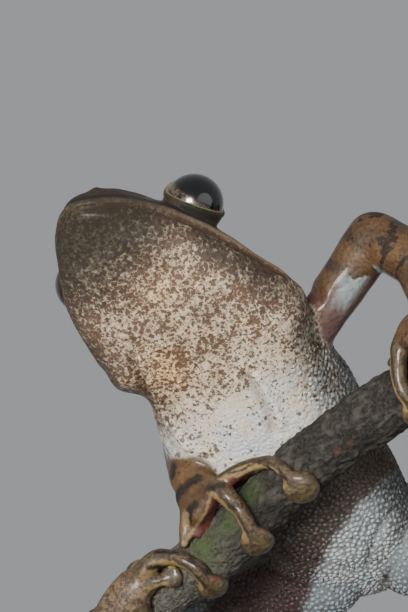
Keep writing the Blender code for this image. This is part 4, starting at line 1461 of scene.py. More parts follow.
@dataclass
class Graph:
    """A node tree that is being built, with short calls for the nodes that finishes use."""

    tree: bpy.types.NodeTree

    def node(self, kind: str, inputs: dict, output: int | str = 0, **settings: object) -> Value:
        """Adds a node.

        Args:
            kind: the node's type.
            inputs: its inputs by name or number, each a value or another node's output.
            output: the output that is given back.
            **settings: the node's own properties.

        Returns:
            The chosen output.
        """
        made = self.tree.nodes.new(kind)
        for name, value in settings.items():
            setattr(made, name, value)
        for name, value in inputs.items():
            self.feed(made.inputs[name], value)
        return Value(self, made.outputs[output])

    def feed(self, socket: bpy.types.NodeSocket, value: object) -> None:
        """Links a value to an input, or sets it there.

        Args:
            socket: the input.
            value: another node's output, or a plain value.
        """
        if isinstance(value, Value):
            self.tree.links.new(value.socket, socket)
        elif socket.type == 'RGBA':
            socket.default_value = (*value, 1.0)
        else:
            socket.default_value = value

    def dress(self, shader: bpy.types.Node, **inputs: object) -> None:
        """Feeds a shader's inputs, each named with a low line for a space."""
        for words, value in inputs.items():
            self.feed(shader.inputs[words.replace('_', ' ')], value)

    def stored(self, name: str) -> Value:
        """Reads a value stored on the mesh."""
        return self.node('ShaderNodeAttribute', {}, 'Fac', attribute_name=name)

    def millimetres(self) -> Value:
        """Gives places on the model in millimetres."""
        return self.shade(self.node('ShaderNodeTexCoord', {}, 'Object'), 1.0 / MM)

    def calc(self, operation: str, *numbers: object) -> Value:
        """Works out one number from one or two."""
        return self.node('ShaderNodeMath', dict(enumerate(numbers)), operation=operation)

    def vectors(self, operation: str, *rows: object) -> Value:
        """Works out one vector from two or three."""
        return self.node('ShaderNodeVectorMath', dict(enumerate(rows)), operation=operation)

    def blend(self, share: object, first: object, second: object) -> Value:
        """Mixes two colours."""
        return self.node('ShaderNodeMix', {0: share, 6: first, 7: second}, 2, data_type='RGBA')

    def shade(self, colour: object, amount: object) -> Value:
        """Scales a colour or a place by an amount."""
        return self.node('ShaderNodeVectorMath', {0: colour, 'Scale': amount},
                         operation='SCALE')

    def noise(self, place: Value, scale: object, detail: float = 3.0, roughness: float = 0.55,
              output: int | str = 0) -> Value:
        """Gives soft random values round a half, with waves a given number to the millimetre."""
        return self.node('ShaderNodeTexNoise', {
            'Vector': place, 'Scale': scale, 'Detail': detail, 'Roughness': roughness}, output)

    def cells(self, place: Value, scale: object) -> Value:
        """Gives how far the middles of random cells are."""
        return self.node('ShaderNodeTexVoronoi', {'Vector': place, 'Scale': scale}, 'Distance')

    def bump(self, height: Value, distance: float) -> Value:
        """Turns a height into a slope of the surface, with a distance in metres."""
        return self.node('ShaderNodeBump', {
            'Height': height, 'Distance': distance, 'Strength': 1.0})


def new_material(name: str, **constants: object) -> tuple[Material, Graph, object]:
    """Makes a material with one plain shader.

    Args:
        name: the material's name.
        **constants: values that are the same all over, by the shader's input.

    Returns:
        The material, its graph and its shader.
    """
    material = bpy.data.materials.new(name)
    material.use_nodes = True
    shader = material.node_tree.nodes['Principled BSDF']
    graph = Graph(material.node_tree)
    graph.dress(shader, **constants)
    return material, graph, shader


class SharedEffect:
    """An effect that finishes share: a node group that is built once."""

    name: str
    inputs: dict
    outputs: tuple

    def wire(self, graph: Graph, given: dict) -> list:
        """Wires the group.

        Args:
            graph: the group's graph.
            given: its inputs by name.

        Returns:
            Its outputs, in order.
        """
        raise NotImplementedError

    def tree(self) -> bpy.types.NodeTree:
        """Builds the group once."""
        if self.name in bpy.data.node_groups:
            return bpy.data.node_groups[self.name]
        graph = Graph(bpy.data.node_groups.new(self.name, 'ShaderNodeTree'))
        for label, kind in self.inputs.items():
            graph.tree.interface.new_socket(label, in_out='INPUT', socket_type=kind)
        for label in self.outputs:
            graph.tree.interface.new_socket(label, in_out='OUTPUT',
                                            socket_type='NodeSocketFloat')
        sockets = graph.tree.nodes.new('NodeGroupInput').outputs
        taken = graph.tree.nodes.new('NodeGroupOutput')
        given = {label: Value(graph, sockets[label]) for label in self.inputs}
        for label, value in zip(self.outputs, self.wire(graph, given)):
            graph.feed(taken.inputs[label], value)
        return graph.tree

    def place_in(self, graph: Graph, *values: object) -> list:
        """Puts the group into a material.

        Args:
            graph: the material's graph.
            *values: the group's inputs, in order.

        Returns:
            The group's outputs, in order.
        """
        made = graph.tree.nodes.new('ShaderNodeGroup')
        made.node_tree = self.tree()
        for label, value in zip(self.inputs, values):
            graph.feed(made.inputs[label], value)
        return [Value(graph, made.outputs[label]) for label in self.outputs]


@dataclass(frozen=True)
class Speckle(SharedEffect):
    """Small ragged spots, alone where they are few and run together where they are many."""

    name: str = "speckle"
    ragged: float = 0.55
    inputs = {"Place": 'NodeSocketVector', "Density": 'NodeSocketFloat',
              "Scale": 'NodeSocketFloat'}
    outputs = ("Spots",)

    def wire(self, graph: Graph, given: dict) -> list:
        """Wires spots whose place, size and edge are all uneven."""
        place = given["Place"]
        twist = graph.vectors('SUBTRACT', graph.noise(place, 3.4, 2, 0.5, 'Color'), (0.5,) * 3)
        bent = graph.vectors('MULTIPLY_ADD', twist, (self.ragged,) * 3, place)
        distance = graph.cells(bent, given["Scale"])
        chance = graph.node('ShaderNodeSeparateColor', {0: distance.beside('Color')})
        cover = given["Density"] * 0.66 + (graph.noise(place, 0.34, 2) * 0.9 - 0.45)
        return [(chance * -0.75 + cover - distance).rise(-0.30, -0.16)]


@dataclass(frozen=True)
class Unevenness(SharedEffect):
    """Fine wear that all dry surfaces share: a height and a slight change of tone."""

    name: str = "unevenness"
    inputs = {"Place": 'NodeSocketVector', "Scale": 'NodeSocketFloat'}
    outputs = ("Height", "Tone")

    def wire(self, graph: Graph, given: dict) -> list:
        """Wires fine waves for the height, and slow ones for the tone."""
        place, scale = given["Place"], given["Scale"]
        slow = graph.noise(place, scale * 0.14, 3, 0.5)
        return [graph.noise(place, scale, 5, 0.65), slow.rise(0.3, 0.7)]


@dataclass(frozen=True)
class SkinFinish:
    """Moist skin: mottled throat, white belly, brown back with four lines, barred limbs."""

    cream: Colour = tint(180, 165, 144)
    white: Colour = tint(190, 193, 187)
    cool: Colour = tint(166, 174, 184)
    warm: Colour = tint(190, 164, 132)
    fleck: Colour = tint(70, 46, 33)
    fleck_dark: Colour = tint(52, 38, 29)
    # Dark olive of the snout and rims, used with the painted shade there.
    olive: Colour = tint(42, 38, 28)
    back_light: Colour = tint(138, 102, 64)
    back_dark: Colour = tint(104, 76, 48)
    line: Colour = tint(58, 38, 22)
    lip: Colour = tint(84, 72, 57)
    lip_edge: Colour = tint(58, 38, 27)
    # Colour of the painted warm highlight on breast and throat.
    golden: Colour = tint(214, 176, 124)
    # Red-brown of the inner arm's edge, and of the painted shade at the arm's base.
    red_edge_and_shade: Colour = tint(72, 46, 38)
    foot: Colour = tint(94, 80, 64)
    lid_edge: Colour = tint(98, 95, 64)
    # Near-black painted shade for the side of the head between lip and eye.
    side_shade: Colour = tint(18, 17, 13)
    limb: Colour = tint(80, 60, 38)
    limb_dark: Colour = tint(62, 45, 29)
    bar: Colour = tint(23, 17, 13)
    limb_under: Colour = tint(116, 124, 127)
    digit: Colour = tint(70, 57, 39)
    fringe: Colour = tint(122, 103, 68)
    disc: Colour = tint(78, 69, 46)
    vein: Colour = tint(34, 25, 19)
    net: Colour = tint(52, 36, 24)
    # Dark red-brown of the groin, darkened further by painted shade.
    blush_and_shadow: Colour = tint(54, 28, 23)
    web: Colour = tint(72, 36, 33)
    cream_line: Colour = tint(120, 104, 74)
    disc_dark: Colour = tint(50, 38, 33)
    # Grey of the painted shade on the lower belly.
    belly_shade_grey: Colour = tint(148, 154, 158)
    # Brown of the painted shadow that the branch casts on the belly.
    shaded: Colour = tint(66, 53, 42)
    fleck_scale: float = 3.1
    dot_scale: float = 4.2
    cluster_scale: float = 1.4
    speck_scale: float = 2.6
    speck_cover: float = 0.34
    bar_waves: float = 1.75
    grain_height: float = 0.00006

    def build(self) -> Material:
        """Makes the material."""
        material, graph, shader = new_material(
            "moist_skin", Coat_Roughness=0.10, Coat_IOR=1.38, IOR=1.4,
            Subsurface_Radius=(0.0011, 0.0006, 0.0004), Subsurface_Weight=0.12,
            Subsurface_Scale=1.0)
        at, place = graph.stored, graph.millimetres()
        slow, fine = graph.noise(place, 0.36), graph.noise(place, 2.2, 4)
        colour = graph.blend(at("on_limb"), self.body_colour(graph, place, slow, fine),
                             self.limb_colour(graph, place, slow, fine))
        # Painted shadow of the branch: brown along its edge, dark red-brown near the groin.
        blush_and_shadow = (at("blush_and_shadow") + (slow - 0.5)).rise(0.2, 0.9) * 0.9
        colour = graph.blend(blush_and_shadow, colour,
                             graph.blend(at("shadow_red_share"), self.shaded, self.blush_and_shadow))
        # Painted shade: the skin between the belly's beads darkened.
        between = (at("granular") - at("bead")).rise(0, 1)
        colour = graph.shade(colour, between * -0.34 + 1.0)
        lip = abs(at("lip_height")).fall(1.3, 2.6)
        dry = (at("on_limb") * (1.0 - at("disc")) * 0.3).most(at("olive_and_shade") * 0.85).most(lip * 0.9)
        granules = (0.6 - graph.cells(place, 2.6)) * (
            at("step").rise(24, 31) * (1.0 - at("on_limb"))) * 2.2
        height = (graph.cells(place, 2.1) * -0.8 + fine + granules) * (at("on_limb") * 0.6 + 1.0)
        graph.dress(
            shader, Base_Color=graph.shade(colour, (fine - 0.5) * 0.5 + 1.0),
            Roughness=fine * 0.35 + 0.24 + at("olive_and_shade") * 0.35 + at("on_limb") * 0.2 + lip * 0.3,
            Coat_Weight=(slow.rise(0.36, 0.6) * 0.45 + 0.25) * (1.0 - dry),
            Normal=graph.bump(height, self.grain_height))
        return material

    def body_colour(self, graph: Graph, place: Value, slow: Value, fine: Value) -> Value:
        """Colours head and trunk.

        Args:
            graph: the material's graph.
            place: the place on the model in millimetres.
            slow: wide soft waves round a half.
            fine: narrow soft waves round a half.

        Returns:
            The colour.
        """
        at, blend = graph.stored, graph.blend
        step, lip_height = at("step"), at("lip_height")
        under = blend(step.rise(20, 36), self.cream, self.white)
        under = blend(slow.rise(0.5, 0.68) * 0.6, under, self.warm)
        patches = graph.noise(place, 0.22, 2).rise(0.46, 0.62)
        under = blend(patches * step.rise(24, 29) * 0.55, under, self.cool)
        # Painted shade in the creases and painted highlight on the crests of the folds.
        under = graph.shade(under, at("crease") * -0.42 + 1.0 + at("crest_light") * 0.3)
        # Painted shade: the lower belly greyed as if out of the light.
        under = blend(step.rise(35, 41) * 0.8, under, self.belly_shade_grey)
        # Painted highlight: breast and throat drawn towards a warm glow.
        under = blend(at("golden") * 0.7, under, self.golden)
        ink = blend(slow.rise(0.4, 0.6), self.fleck, self.fleck_dark)
        for effect, cover, scale, share, tone in (
                (Speckle(), "mottle", self.fleck_scale, 0.86, ink),
                (Speckle("clusters", 0.38), "clusters", self.cluster_scale, 0.8, ink),
                (Speckle(), "mottle", self.dot_scale, 0.45, self.fleck)):
            spots = effect.place_in(graph, place, at(cover), scale)[0]
            under = blend(spots * share, under, tone)
        # Painted shade at the snout and rims: the colour darkened and drawn towards olive.
        olive_and_shade = ((fine - 0.5) * 1.3 + at("olive_and_shade")).rise(0, 0.9)
        under = blend(olive_and_shade * 0.45, graph.shade(under, olive_and_shade * -0.89 + 1.0), self.olive)
        back = blend(fine.rise(0.38, 0.62), self.back_light, self.back_dark)
        lines = ((fine - 0.5) * 0.9 + at("lines")).fall(0.22, 0.55)
        back = blend(lines * 0.8, back, self.line)
        body = blend(((slow - 0.5) * 0.9 + at("flank")).rise(0.35, 0.65), under, back)
        above = lip_height.rise(0.50, 0.72)
        # Painted shade on the side of the head, from above the lip up towards the eye.
        body = blend(above * lip_height.fall(4.2, 5.8) * 0.92, body, self.side_shade)
        head = step.fall(21, 23.5) * (step.rise(3, 15) * 0.85 + 0.15)
        stripe = lip_height.rise(-0.02, 0.10) * (1.0 - above) * lip_height.rise(-0.5, 0)
        body = blend(stripe * head * 0.9, body, self.lip)
        rim = lip_height.rise(-0.60, -0.38) * lip_height.fall(-0.06, 0.04)
        body = blend(rim * head * 0.85, body, self.lip_edge)
        lid = at("lid").rise(-1.5, 0.5) * at("lid").fall(1.2, 3.2)
        return blend(lid * 0.9, body, self.lid_edge)

    def limb_colour(self, graph: Graph, place: Value, slow: Value, fine: Value) -> Value:
        """Colours limbs and digits.

        Args:
            graph: the material's graph.
            place: the place on the model in millimetres.
            slow: wide soft waves round a half.
            fine: narrow soft waves round a half.

        Returns:
            The colour.
        """
        at, blend = graph.stored, graph.blend
        slow_off, fine_off = slow - 0.5, fine - 0.5
        bend = slow_off * 6.0 + at("along")
        wave = graph.calc('SINE', bend * self.bar_waves) + fine_off * 1.3
        bars = wave.rise(0.62, 0.76) * at("bars") * (1.0 - at("right_hand"))
        specks = Speckle().place_in(graph, place, self.speck_cover, self.speck_scale)[0]
        top = blend(slow.rise(0.38, 0.62), self.limb, self.limb_dark)
        top = blend(bars * 0.85, blend(specks * 0.6, top, self.bar), self.bar)
        outer = slow_off * 1.4 + at("outer") + bend.rise(8, 9.8) * at("inner_arm")
        limb = blend(outer.rise(-0.55, -0.2), self.limb_under, top)
        # Red-brown on the inner arm's edge, its own colour, and over the arm's base beside the
        # body, painted shade.
        red = at("outer").fall(-1.25, -0.85).most(bend.fall(3.2, 6.4)) * at("inner_arm")
        limb = blend(red * 0.9, limb, self.red_edge_and_shade)
        nets = self.network(graph, place, 0.8).most(
            graph.noise(place, 1.3, 5, 0.65).rise(0.52, 0.60))
        limb = blend(at("pale_foot"), limb, blend(nets * 0.8, self.foot, self.net))
        ridge = abs(at("sideways") + 0.2).fall(0.08, 0.34) * fine_off.rise(-0.14, 0.02)
        veins = self.network(graph, place, 1.2)
        digit = blend(specks * 0.5, self.digit, self.bar)
        digit = blend(ridge.most(veins) * 0.8, digit, self.vein)
        fringe = (fine_off * 0.5 - at("sideways")).rise(0.42, 0.62)
        digit = blend(fringe * 0.75, digit, self.fringe)
        digit = blend(at("web") * 0.9, digit, self.web)
        blotch = graph.noise(place, 1.3, 5, 0.7).rise(0.43, 0.56)
        pad = blend(blotch * 0.75, self.disc, self.disc_dark)
        pad = blend(veins * 0.35, pad, self.vein)
        limb = blend(at("digit"), limb, blend(at("disc"), digit, pad))
        for name, share, tone in (("red_web", 0.95, self.web), ("ink", 0.95, self.bar),
                                  ("cream_line", 0.8, self.cream_line)):
            limb = blend(at(name) * share, limb, tone)
        return limb

    def network(self, graph: Graph, place: Value, scale: float) -> Value:
        """Gives a net of thin winding lines."""
        return abs(graph.noise(place, scale, 4, 0.6) - 0.5).fall(0.012, 0.05)


@dataclass
class FrogSkin:
    """The frog's skin, and the small beads on its belly and thighs."""

    form: SkinForm = field(default_factory=SkinForm)
    finish: SkinFinish = field(default_factory=SkinFinish)
    bead_gap: float = 0.5
    bead_radius: float = 0.285
    bead_height: float = 0.85
    bead_seed: int = 7
    most_beads: float = 2.0e7

    def nodes(self) -> list:
        """Names the solid pieces that the skin stands for."""
        names = ["head", "lower_jaw", "torso", "pelvis"]
        lengths = ("tympanum", "upper_arm", "forearm", "hand", "thigh", "shank", "tarsus", "foot")
        for word in (side.word for side in Side):
            names += [f"{length}_{word}" for length in lengths]
            names += [f"finger_{word}_{number}" for number in range(1, 5)]
            names += [f"toe_{word}_{number}" for number in range(1, 6)]
        return names

    def build(self) -> list:
        """Makes skin and beads."""
        material = self.finish.build()
        skin = self.form.build()
        Markings(self.form).store(skin)
        skin.data.materials.append(material)
        beads = self.beads(skin, material)
        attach(skin, BODY)
        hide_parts(*self.nodes())
        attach(beads, BODY)
        return [skin, beads]

    def bead_tree(self) -> bpy.types.NodeTree:
        """Builds the tree that strews beads over the stored granular places."""
        tree = bpy.data.node_groups.new("strewn_beads", 'GeometryNodeTree')
        kinds = {"Skin": 'NodeSocketGeometry', "Gap": 'NodeSocketFloat',
                 "Radius": 'NodeSocketFloat', "Height": 'NodeSocketFloat',
                 "Seed": 'NodeSocketInt', "Finish": 'NodeSocketMaterial'}
        for label, kind in kinds.items():
            tree.interface.new_socket(label, in_out='INPUT', socket_type=kind)
        tree.interface.new_socket("Beads", in_out='OUTPUT', socket_type='NodeSocketGeometry')
        graph = Graph(tree)
        sockets = tree.nodes.new('NodeGroupInput').outputs
        given = {label: Value(graph, sockets[label]) for label in kinds}
        taken = tree.nodes.new('NodeGroupOutput').inputs
        granular = graph.node('GeometryNodeInputNamedAttribute', {"Name": "granular"},
                              'Attribute', data_type='FLOAT')
        points = graph.node('GeometryNodeDistributePointsOnFaces', {
            "Mesh": given["Skin"], "Distance Min": given["Gap"], "Seed": given["Seed"],
            "Density Factor": granular.rise(0.22, 0.40), "Density Max": self.most_beads},
            "Points", distribute_method='POISSON')
        bead = graph.node('GeometryNodeMeshUVSphere', {
            "Segments": 7, "Rings": 4, "Radius": given["Radius"]}, 'Mesh')
        size = graph.node('FunctionNodeRandomValue', {
            "Min": (0.86, 0.86, 0.5), "Max": (1.14, 1.14, 0.8), "Seed": given["Seed"]},
            data_type='FLOAT_VECTOR')
        squat = graph.node('ShaderNodeCombineXYZ', {0: 1.0, 1: 1.0, 2: given["Height"] * granular})
        strewn = graph.node('GeometryNodeInstanceOnPoints', {
            "Points": points, "Instance": bead, "Rotation": points.beside("Rotation"),
            "Scale": graph.vectors('MULTIPLY', size, squat)})
        strewn = graph.node('GeometryNodeStoreNamedAttribute', {
            "Geometry": strewn, "Name": "bead", "Value": 1.0}, data_type='FLOAT',
            domain='INSTANCE')
        real = graph.node('GeometryNodeRealizeInstances', {0: strewn})
        smooth = graph.node('GeometryNodeSetShadeSmooth', {0: real})
        graph.feed(taken["Beads"], graph.node('GeometryNodeSetMaterial', {
            "Geometry": smooth, "Material": given["Finish"]}))
        return tree

    def beads(self, skin: Piece, material: Material) -> Piece:
        """Makes the beads as one plain mesh.

        Args:
            skin: the finished skin, with its stored values.
            material: the beads' finish.

        Returns:
            The beads.
        """
        piece = in_scene("belly_granules", skin.data.copy())
        tree = self.bead_tree()
        values = {"Gap": self.bead_gap * MM, "Radius": self.bead_radius * MM,
                  "Height": self.bead_height, "Seed": self.bead_seed, "Finish": material}
        modifier = piece.modifiers.new("beads", 'NODES')
        modifier.node_group = tree
        for item in tree.interface.items_tree:
            if item.in_out == 'INPUT' and item.name in values:
                modifier[item.identifier] = values[item.name]
        return applied(piece)


@dataclass(frozen=True)
class EyeFinish:
    """A wet eye: a wide dark pupil, a brown iris with dark veins, and a dark rim."""

    pupil: Colour = tint(8, 8, 9)
    iris: Colour = tint(50, 42, 36)
    iris_light: Colour = tint(80, 67, 56)
    vein: Colour = tint(22, 16, 14)
    rim: Colour = tint(14, 12, 11)

    def build(self) -> Material:
        """Makes the material."""
        material, graph, shader = new_material(
            "wet_eye", Roughness=0.22, Coat_Weight=1.0, Coat_Roughness=0.02, IOR=1.38)
        place, ring = graph.millimetres(), graph.stored("ring")
        fine = graph.noise(place, 2.4, 4)
        veins = graph.noise(place, 1.5, 5, 0.7).rise(0.50, 0.60)
        colour = graph.blend(fine.rise(0.40, 0.62), self.iris, self.iris_light)
        colour = graph.blend(veins * 0.85, colour, self.vein)
        colour = graph.blend(((fine - 0.5) * 0.10 + ring).rise(1.30, 1.42), colour, self.rim)
        colour = graph.blend(ring.fall(0.98, 1.02), colour, self.pupil)
        graph.dress(shader, Base_Color=colour, Normal=graph.bump(fine, 0.00001))
        return material


@dataclass
class Eyes:
    """Both eyeballs."""

    finish: EyeFinish = field(default_factory=EyeFinish)
    rings: int = 56
    sides: int = 72
    pupil_wide: float = 0.97
    pupil_high: float = 0.92

    def build(self) -> list:
        """Makes both eyeballs, each with its pupil along the head."""
        material = self.finish.build()
        made = []
        for form in EYES:
            piece = self.ball(form)
            piece.data.materials.append(material)
            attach(piece, BODY)
            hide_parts(f"eye_{form.side.word}")
            made.append(piece)
        return made

    def ball(self, form: EyeForm) -> Piece:
        """Makes one eyeball.

        Args:
            form: its place, size and gaze.

        Returns:
            The eyeball, with its distance from the pupil's middle stored on it.
        """
        ahead = form.direction(form.gaze)
        level = BODY_FORM.head_axes()[0]
        level = unit(level - ahead * np.dot(level, ahead))
        rise = np.cross(ahead, level)
        angles = np.linspace(0.0, math.pi, self.rings + 2)[1:-1]
        out = np.sin(angles)[:, None]
        turns = turns_of(self.sides)
        rows = (np.cos(angles)[:, None, None] * ahead + (out * np.cos(turns))[..., None] * level
                + (out * np.sin(turns))[..., None] * rise)
        centre = form.centre()
        piece = make_mesh(f"eyeball_{form.side.word}", loft(
            centre + rows * form.radius, centre + ahead * form.radius,
            centre - ahead * form.radius))
        offset = unit(places_of(piece) - centre)
        ring = np.hypot((offset @ level) / self.pupil_wide, (offset @ rise) / self.pupil_high)
        add_values(piece, "ring", np.where(offset @ ahead > 0.0, ring, 2.0))
        return piece


@dataclass(frozen=True)
class BarkFinish:
    """Rough grey bark with moss, and a pale ringed wood at the cut ends."""

    grey: Colour = tint(49, 47, 43)
    dark: Colour = tint(25, 24, 22)
    pale: Colour = tint(70, 67, 61)
    moss: Colour = tint(52, 70, 30)
    scab: Colour = tint(66, 48, 40)
    worn: Colour = tint(92, 90, 82)
    wood: Colour = tint(196, 170, 124)
    wood_ring: Colour = tint(140, 108, 68)

    def build(self) -> Material:
        """Makes the material."""
        material, graph, shader = new_material("grey_bark", Specular_IOR_Level=0.3)
        at, blend, relief = graph.stored, graph.blend, graph.stored("relief")
        rough, tone = Unevenness().place_in(graph, graph.millimetres(), 3.4)
        colour = blend(rough.rise(0.40, 0.64), self.grey, self.dark)
        for share, over in ((relief.rise(0.55, 0.95) * 0.7, self.pale),
                            (relief.fall(0.12, 0.45) * 0.75, self.dark),
                            (at("worn") * rough.rise(0.36, 0.6), self.worn),
                            (at("moss") * rough.rise(0.38, 0.56), self.moss),
                            (at("scab"), self.scab)):
            colour = blend(share, colour, over)
        rings = graph.calc('SINE', at("from_pith") * 11.0)
        wood = blend(rings.rise(-0.2, 0.9), self.wood, self.wood_ring)
        wood = blend(tone * 0.35, wood, self.wood_ring)
        graph.dress(shader, Base_Color=blend(at("cut"), colour, wood),
                    Roughness=rough * 0.3 + 0.62, Normal=graph.bump(rough, 0.0003))
        return material


@dataclass
class Branch:
    """The cut branch with its bark."""

    form: BranchForm = BRANCH_FORM
    finish: BarkFinish = field(default_factory=BarkFinish)
    rings: int = 420
    sides: int = 150
    proud: float = 0.10
    relief: float = 0.42
    stretch: float = 0.35
    cut_round: float = 0.25
    moss_patches: tuple = ((-2.6, 42, 1.3), (-6.4, 60, 1.1), (-10.4, 66, 1.8),
                           (9, 250, 3), (30, 200, 2.5))
    scabs: tuple = ((7.6, 99, 0.46), (9.1, 104, 0.42))

    def build(self) -> list:
        """Makes the branch."""
        start, end = self.form.start, self.form.end
        along = np.linspace(start, end, self.rings)
        angle = 360.0 * np.arange(self.sides) / self.sides
        grid = np.stack(np.meshgrid(along, angle, indexing='ij'), axis=-1)
        outward = self.form.outward(grid[..., 1])
        axis = self.form.axis(grid[..., 0])
        flat = (axis + outward * self.form.radius).reshape(-1, 3)
        ahead = unit(self.form.direction)
        stretched = flat - np.outer(flat @ ahead, ahead) * self.stretch
        coarse, fine, cracks = (
            wobble(places, size, seed).reshape(grid.shape[:2])
            for places, size, seed in ((flat, 2.4, 2.0), (stretched, 0.5, 9.0),
                                       (stretched, 0.9, 21.0)))
        cracks = fall(0, 0.16, np.abs(cracks))
        relief = np.clip(0.62 + 0.30 * coarse + 0.30 * fine - 0.30 * cracks, 0.0, 1.0)
        edge = np.minimum(grid[..., 0] - start, end - grid[..., 0])
        depth = (self.form.radius + self.proud - self.relief * (1.0 - relief)
                 - self.cut_round * fall(0.0, self.cut_round, edge))
        piece = make_mesh("branch_bark", self.with_cut_ends(axis + outward * depth[..., None]))
        self.store(piece, relief, grid)
        piece.data.materials.append(self.finish.build())
        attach(piece, BODY)
        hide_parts("branch")
        return [piece]

    def with_cut_ends(self, points: Array) -> Shell:
        """Adds rings of wood at each cut end.

        Args:
            points: the bark's rings.

        Returns:
            The closed branch.
        """
        start, end = self.form.start, self.form.end
        shares = np.array([0.92, 0.75, 0.5, 0.25])
        first = self.form.axis(np.array(start))
        last = self.form.axis(np.array(end))
        near = [first + (points[0] - first) * share for share in shares[::-1]]
        far = [last + (points[-1] - last) * share for share in shares]
        return loft(np.concatenate([near, points, far]), first, last)

    def store(self, piece: Piece, relief: Array, grid: Array) -> None:
        """Stores relief, moss, scabs and cut wood on the mesh.

        Args:
            piece: the branch.
            relief: how proud the bark is, from 0 to 1, at each point of the grid.
            grid: each point's distance along the branch and degrees round it.
        """
        edge = np.zeros(4 * self.sides)

        def padded(values: Array) -> Array:
            """Adds values for the cut ends."""
            return np.concatenate([edge, values.ravel(), edge, [0.0, 0.0]])

        def near(patch: tuple) -> Array:
            """Gives a soft round mask at a place on the bark."""
            turn = (grid[..., 1] - patch[1] + 180.0) % 360.0 - 180.0
            round_off = np.radians(turn) * self.form.radius
            return hump(np.hypot(grid[..., 0] - patch[0], round_off), patch[2])

        moss, scab = (sum(near(patch) for patch in patches)
                      for patches in (self.moss_patches, self.scabs))
        for name, values in {
                "relief": relief, "moss": np.clip(moss, 0.0, 0.85), "scab": ramp(0.3, 0.5, scab),
                "worn": 0.8 * fall(-12, -3, grid[..., 0])}.items():
            add_values(piece, name, padded(values))
        points = places_of(piece)
        along = (points - np.array(self.form.place)) @ unit(self.form.direction)
        pith = away_from(points, self.form.axis(along))
        at_end = np.minimum(along - self.form.start, self.form.end - along) < 1e-3
        add_values(piece, "from_pith", pith)
        add_values(piece, "cut", (at_end & (pith < self.form.radius * 0.93)).astype(float))


@dataclass(frozen=True)
class PaintedWood:
    """Satin black paint over wood, with a trace of grain and lighter worn edges."""

    paint: Colour = tint(36, 36, 38)
    worn: Colour = tint(70, 68, 66)

    def build(self) -> Material:
        """Makes the material."""
        material, graph, shader = new_material("satin_black_paint")
        place = graph.millimetres()
        height, tone = Unevenness().place_in(graph, place, 0.9)
        along = graph.node('ShaderNodeMapping', {'Vector': place, 'Scale': (0.06, 1.6, 1.6)})
        colour = graph.blend(tone * 0.25, self.paint, self.worn)
        colour = graph.blend(graph.stored("edge") * 0.35, colour, self.worn)
        grain = graph.noise(along, 1, 4) * 2.0 + height
        graph.dress(shader, Base_Color=colour, Roughness=tone * 0.12 + 0.36,
                    Normal=graph.bump(grain, 0.00005))
        return material


@dataclass(frozen=True)
class BrushedSteel:
    """Dark steel, brushed round the rod."""

    steel: Colour = tint(140, 140, 142)
    shadow: Colour = tint(96, 96, 98)

    def build(self) -> Material:
        """Makes the material."""
        material, graph, shader = new_material("dark_brushed_steel", Metallic=1.0)
        place = graph.millimetres()
        _, tone = Unevenness().place_in(graph, place, 2.0)
        brushed = graph.node('ShaderNodeMapping', {'Vector': place, 'Scale': (0.4, 0.4, 9.0)})
        lines = graph.noise(brushed, 1, 3)
        graph.dress(
            shader, Base_Color=graph.blend(lines.rise(0.35, 0.65), self.steel, self.shadow),
            Roughness=lines * 0.22 + 0.24, Normal=graph.bump(tone * 0.3 + lines, 0.00002))
        return material


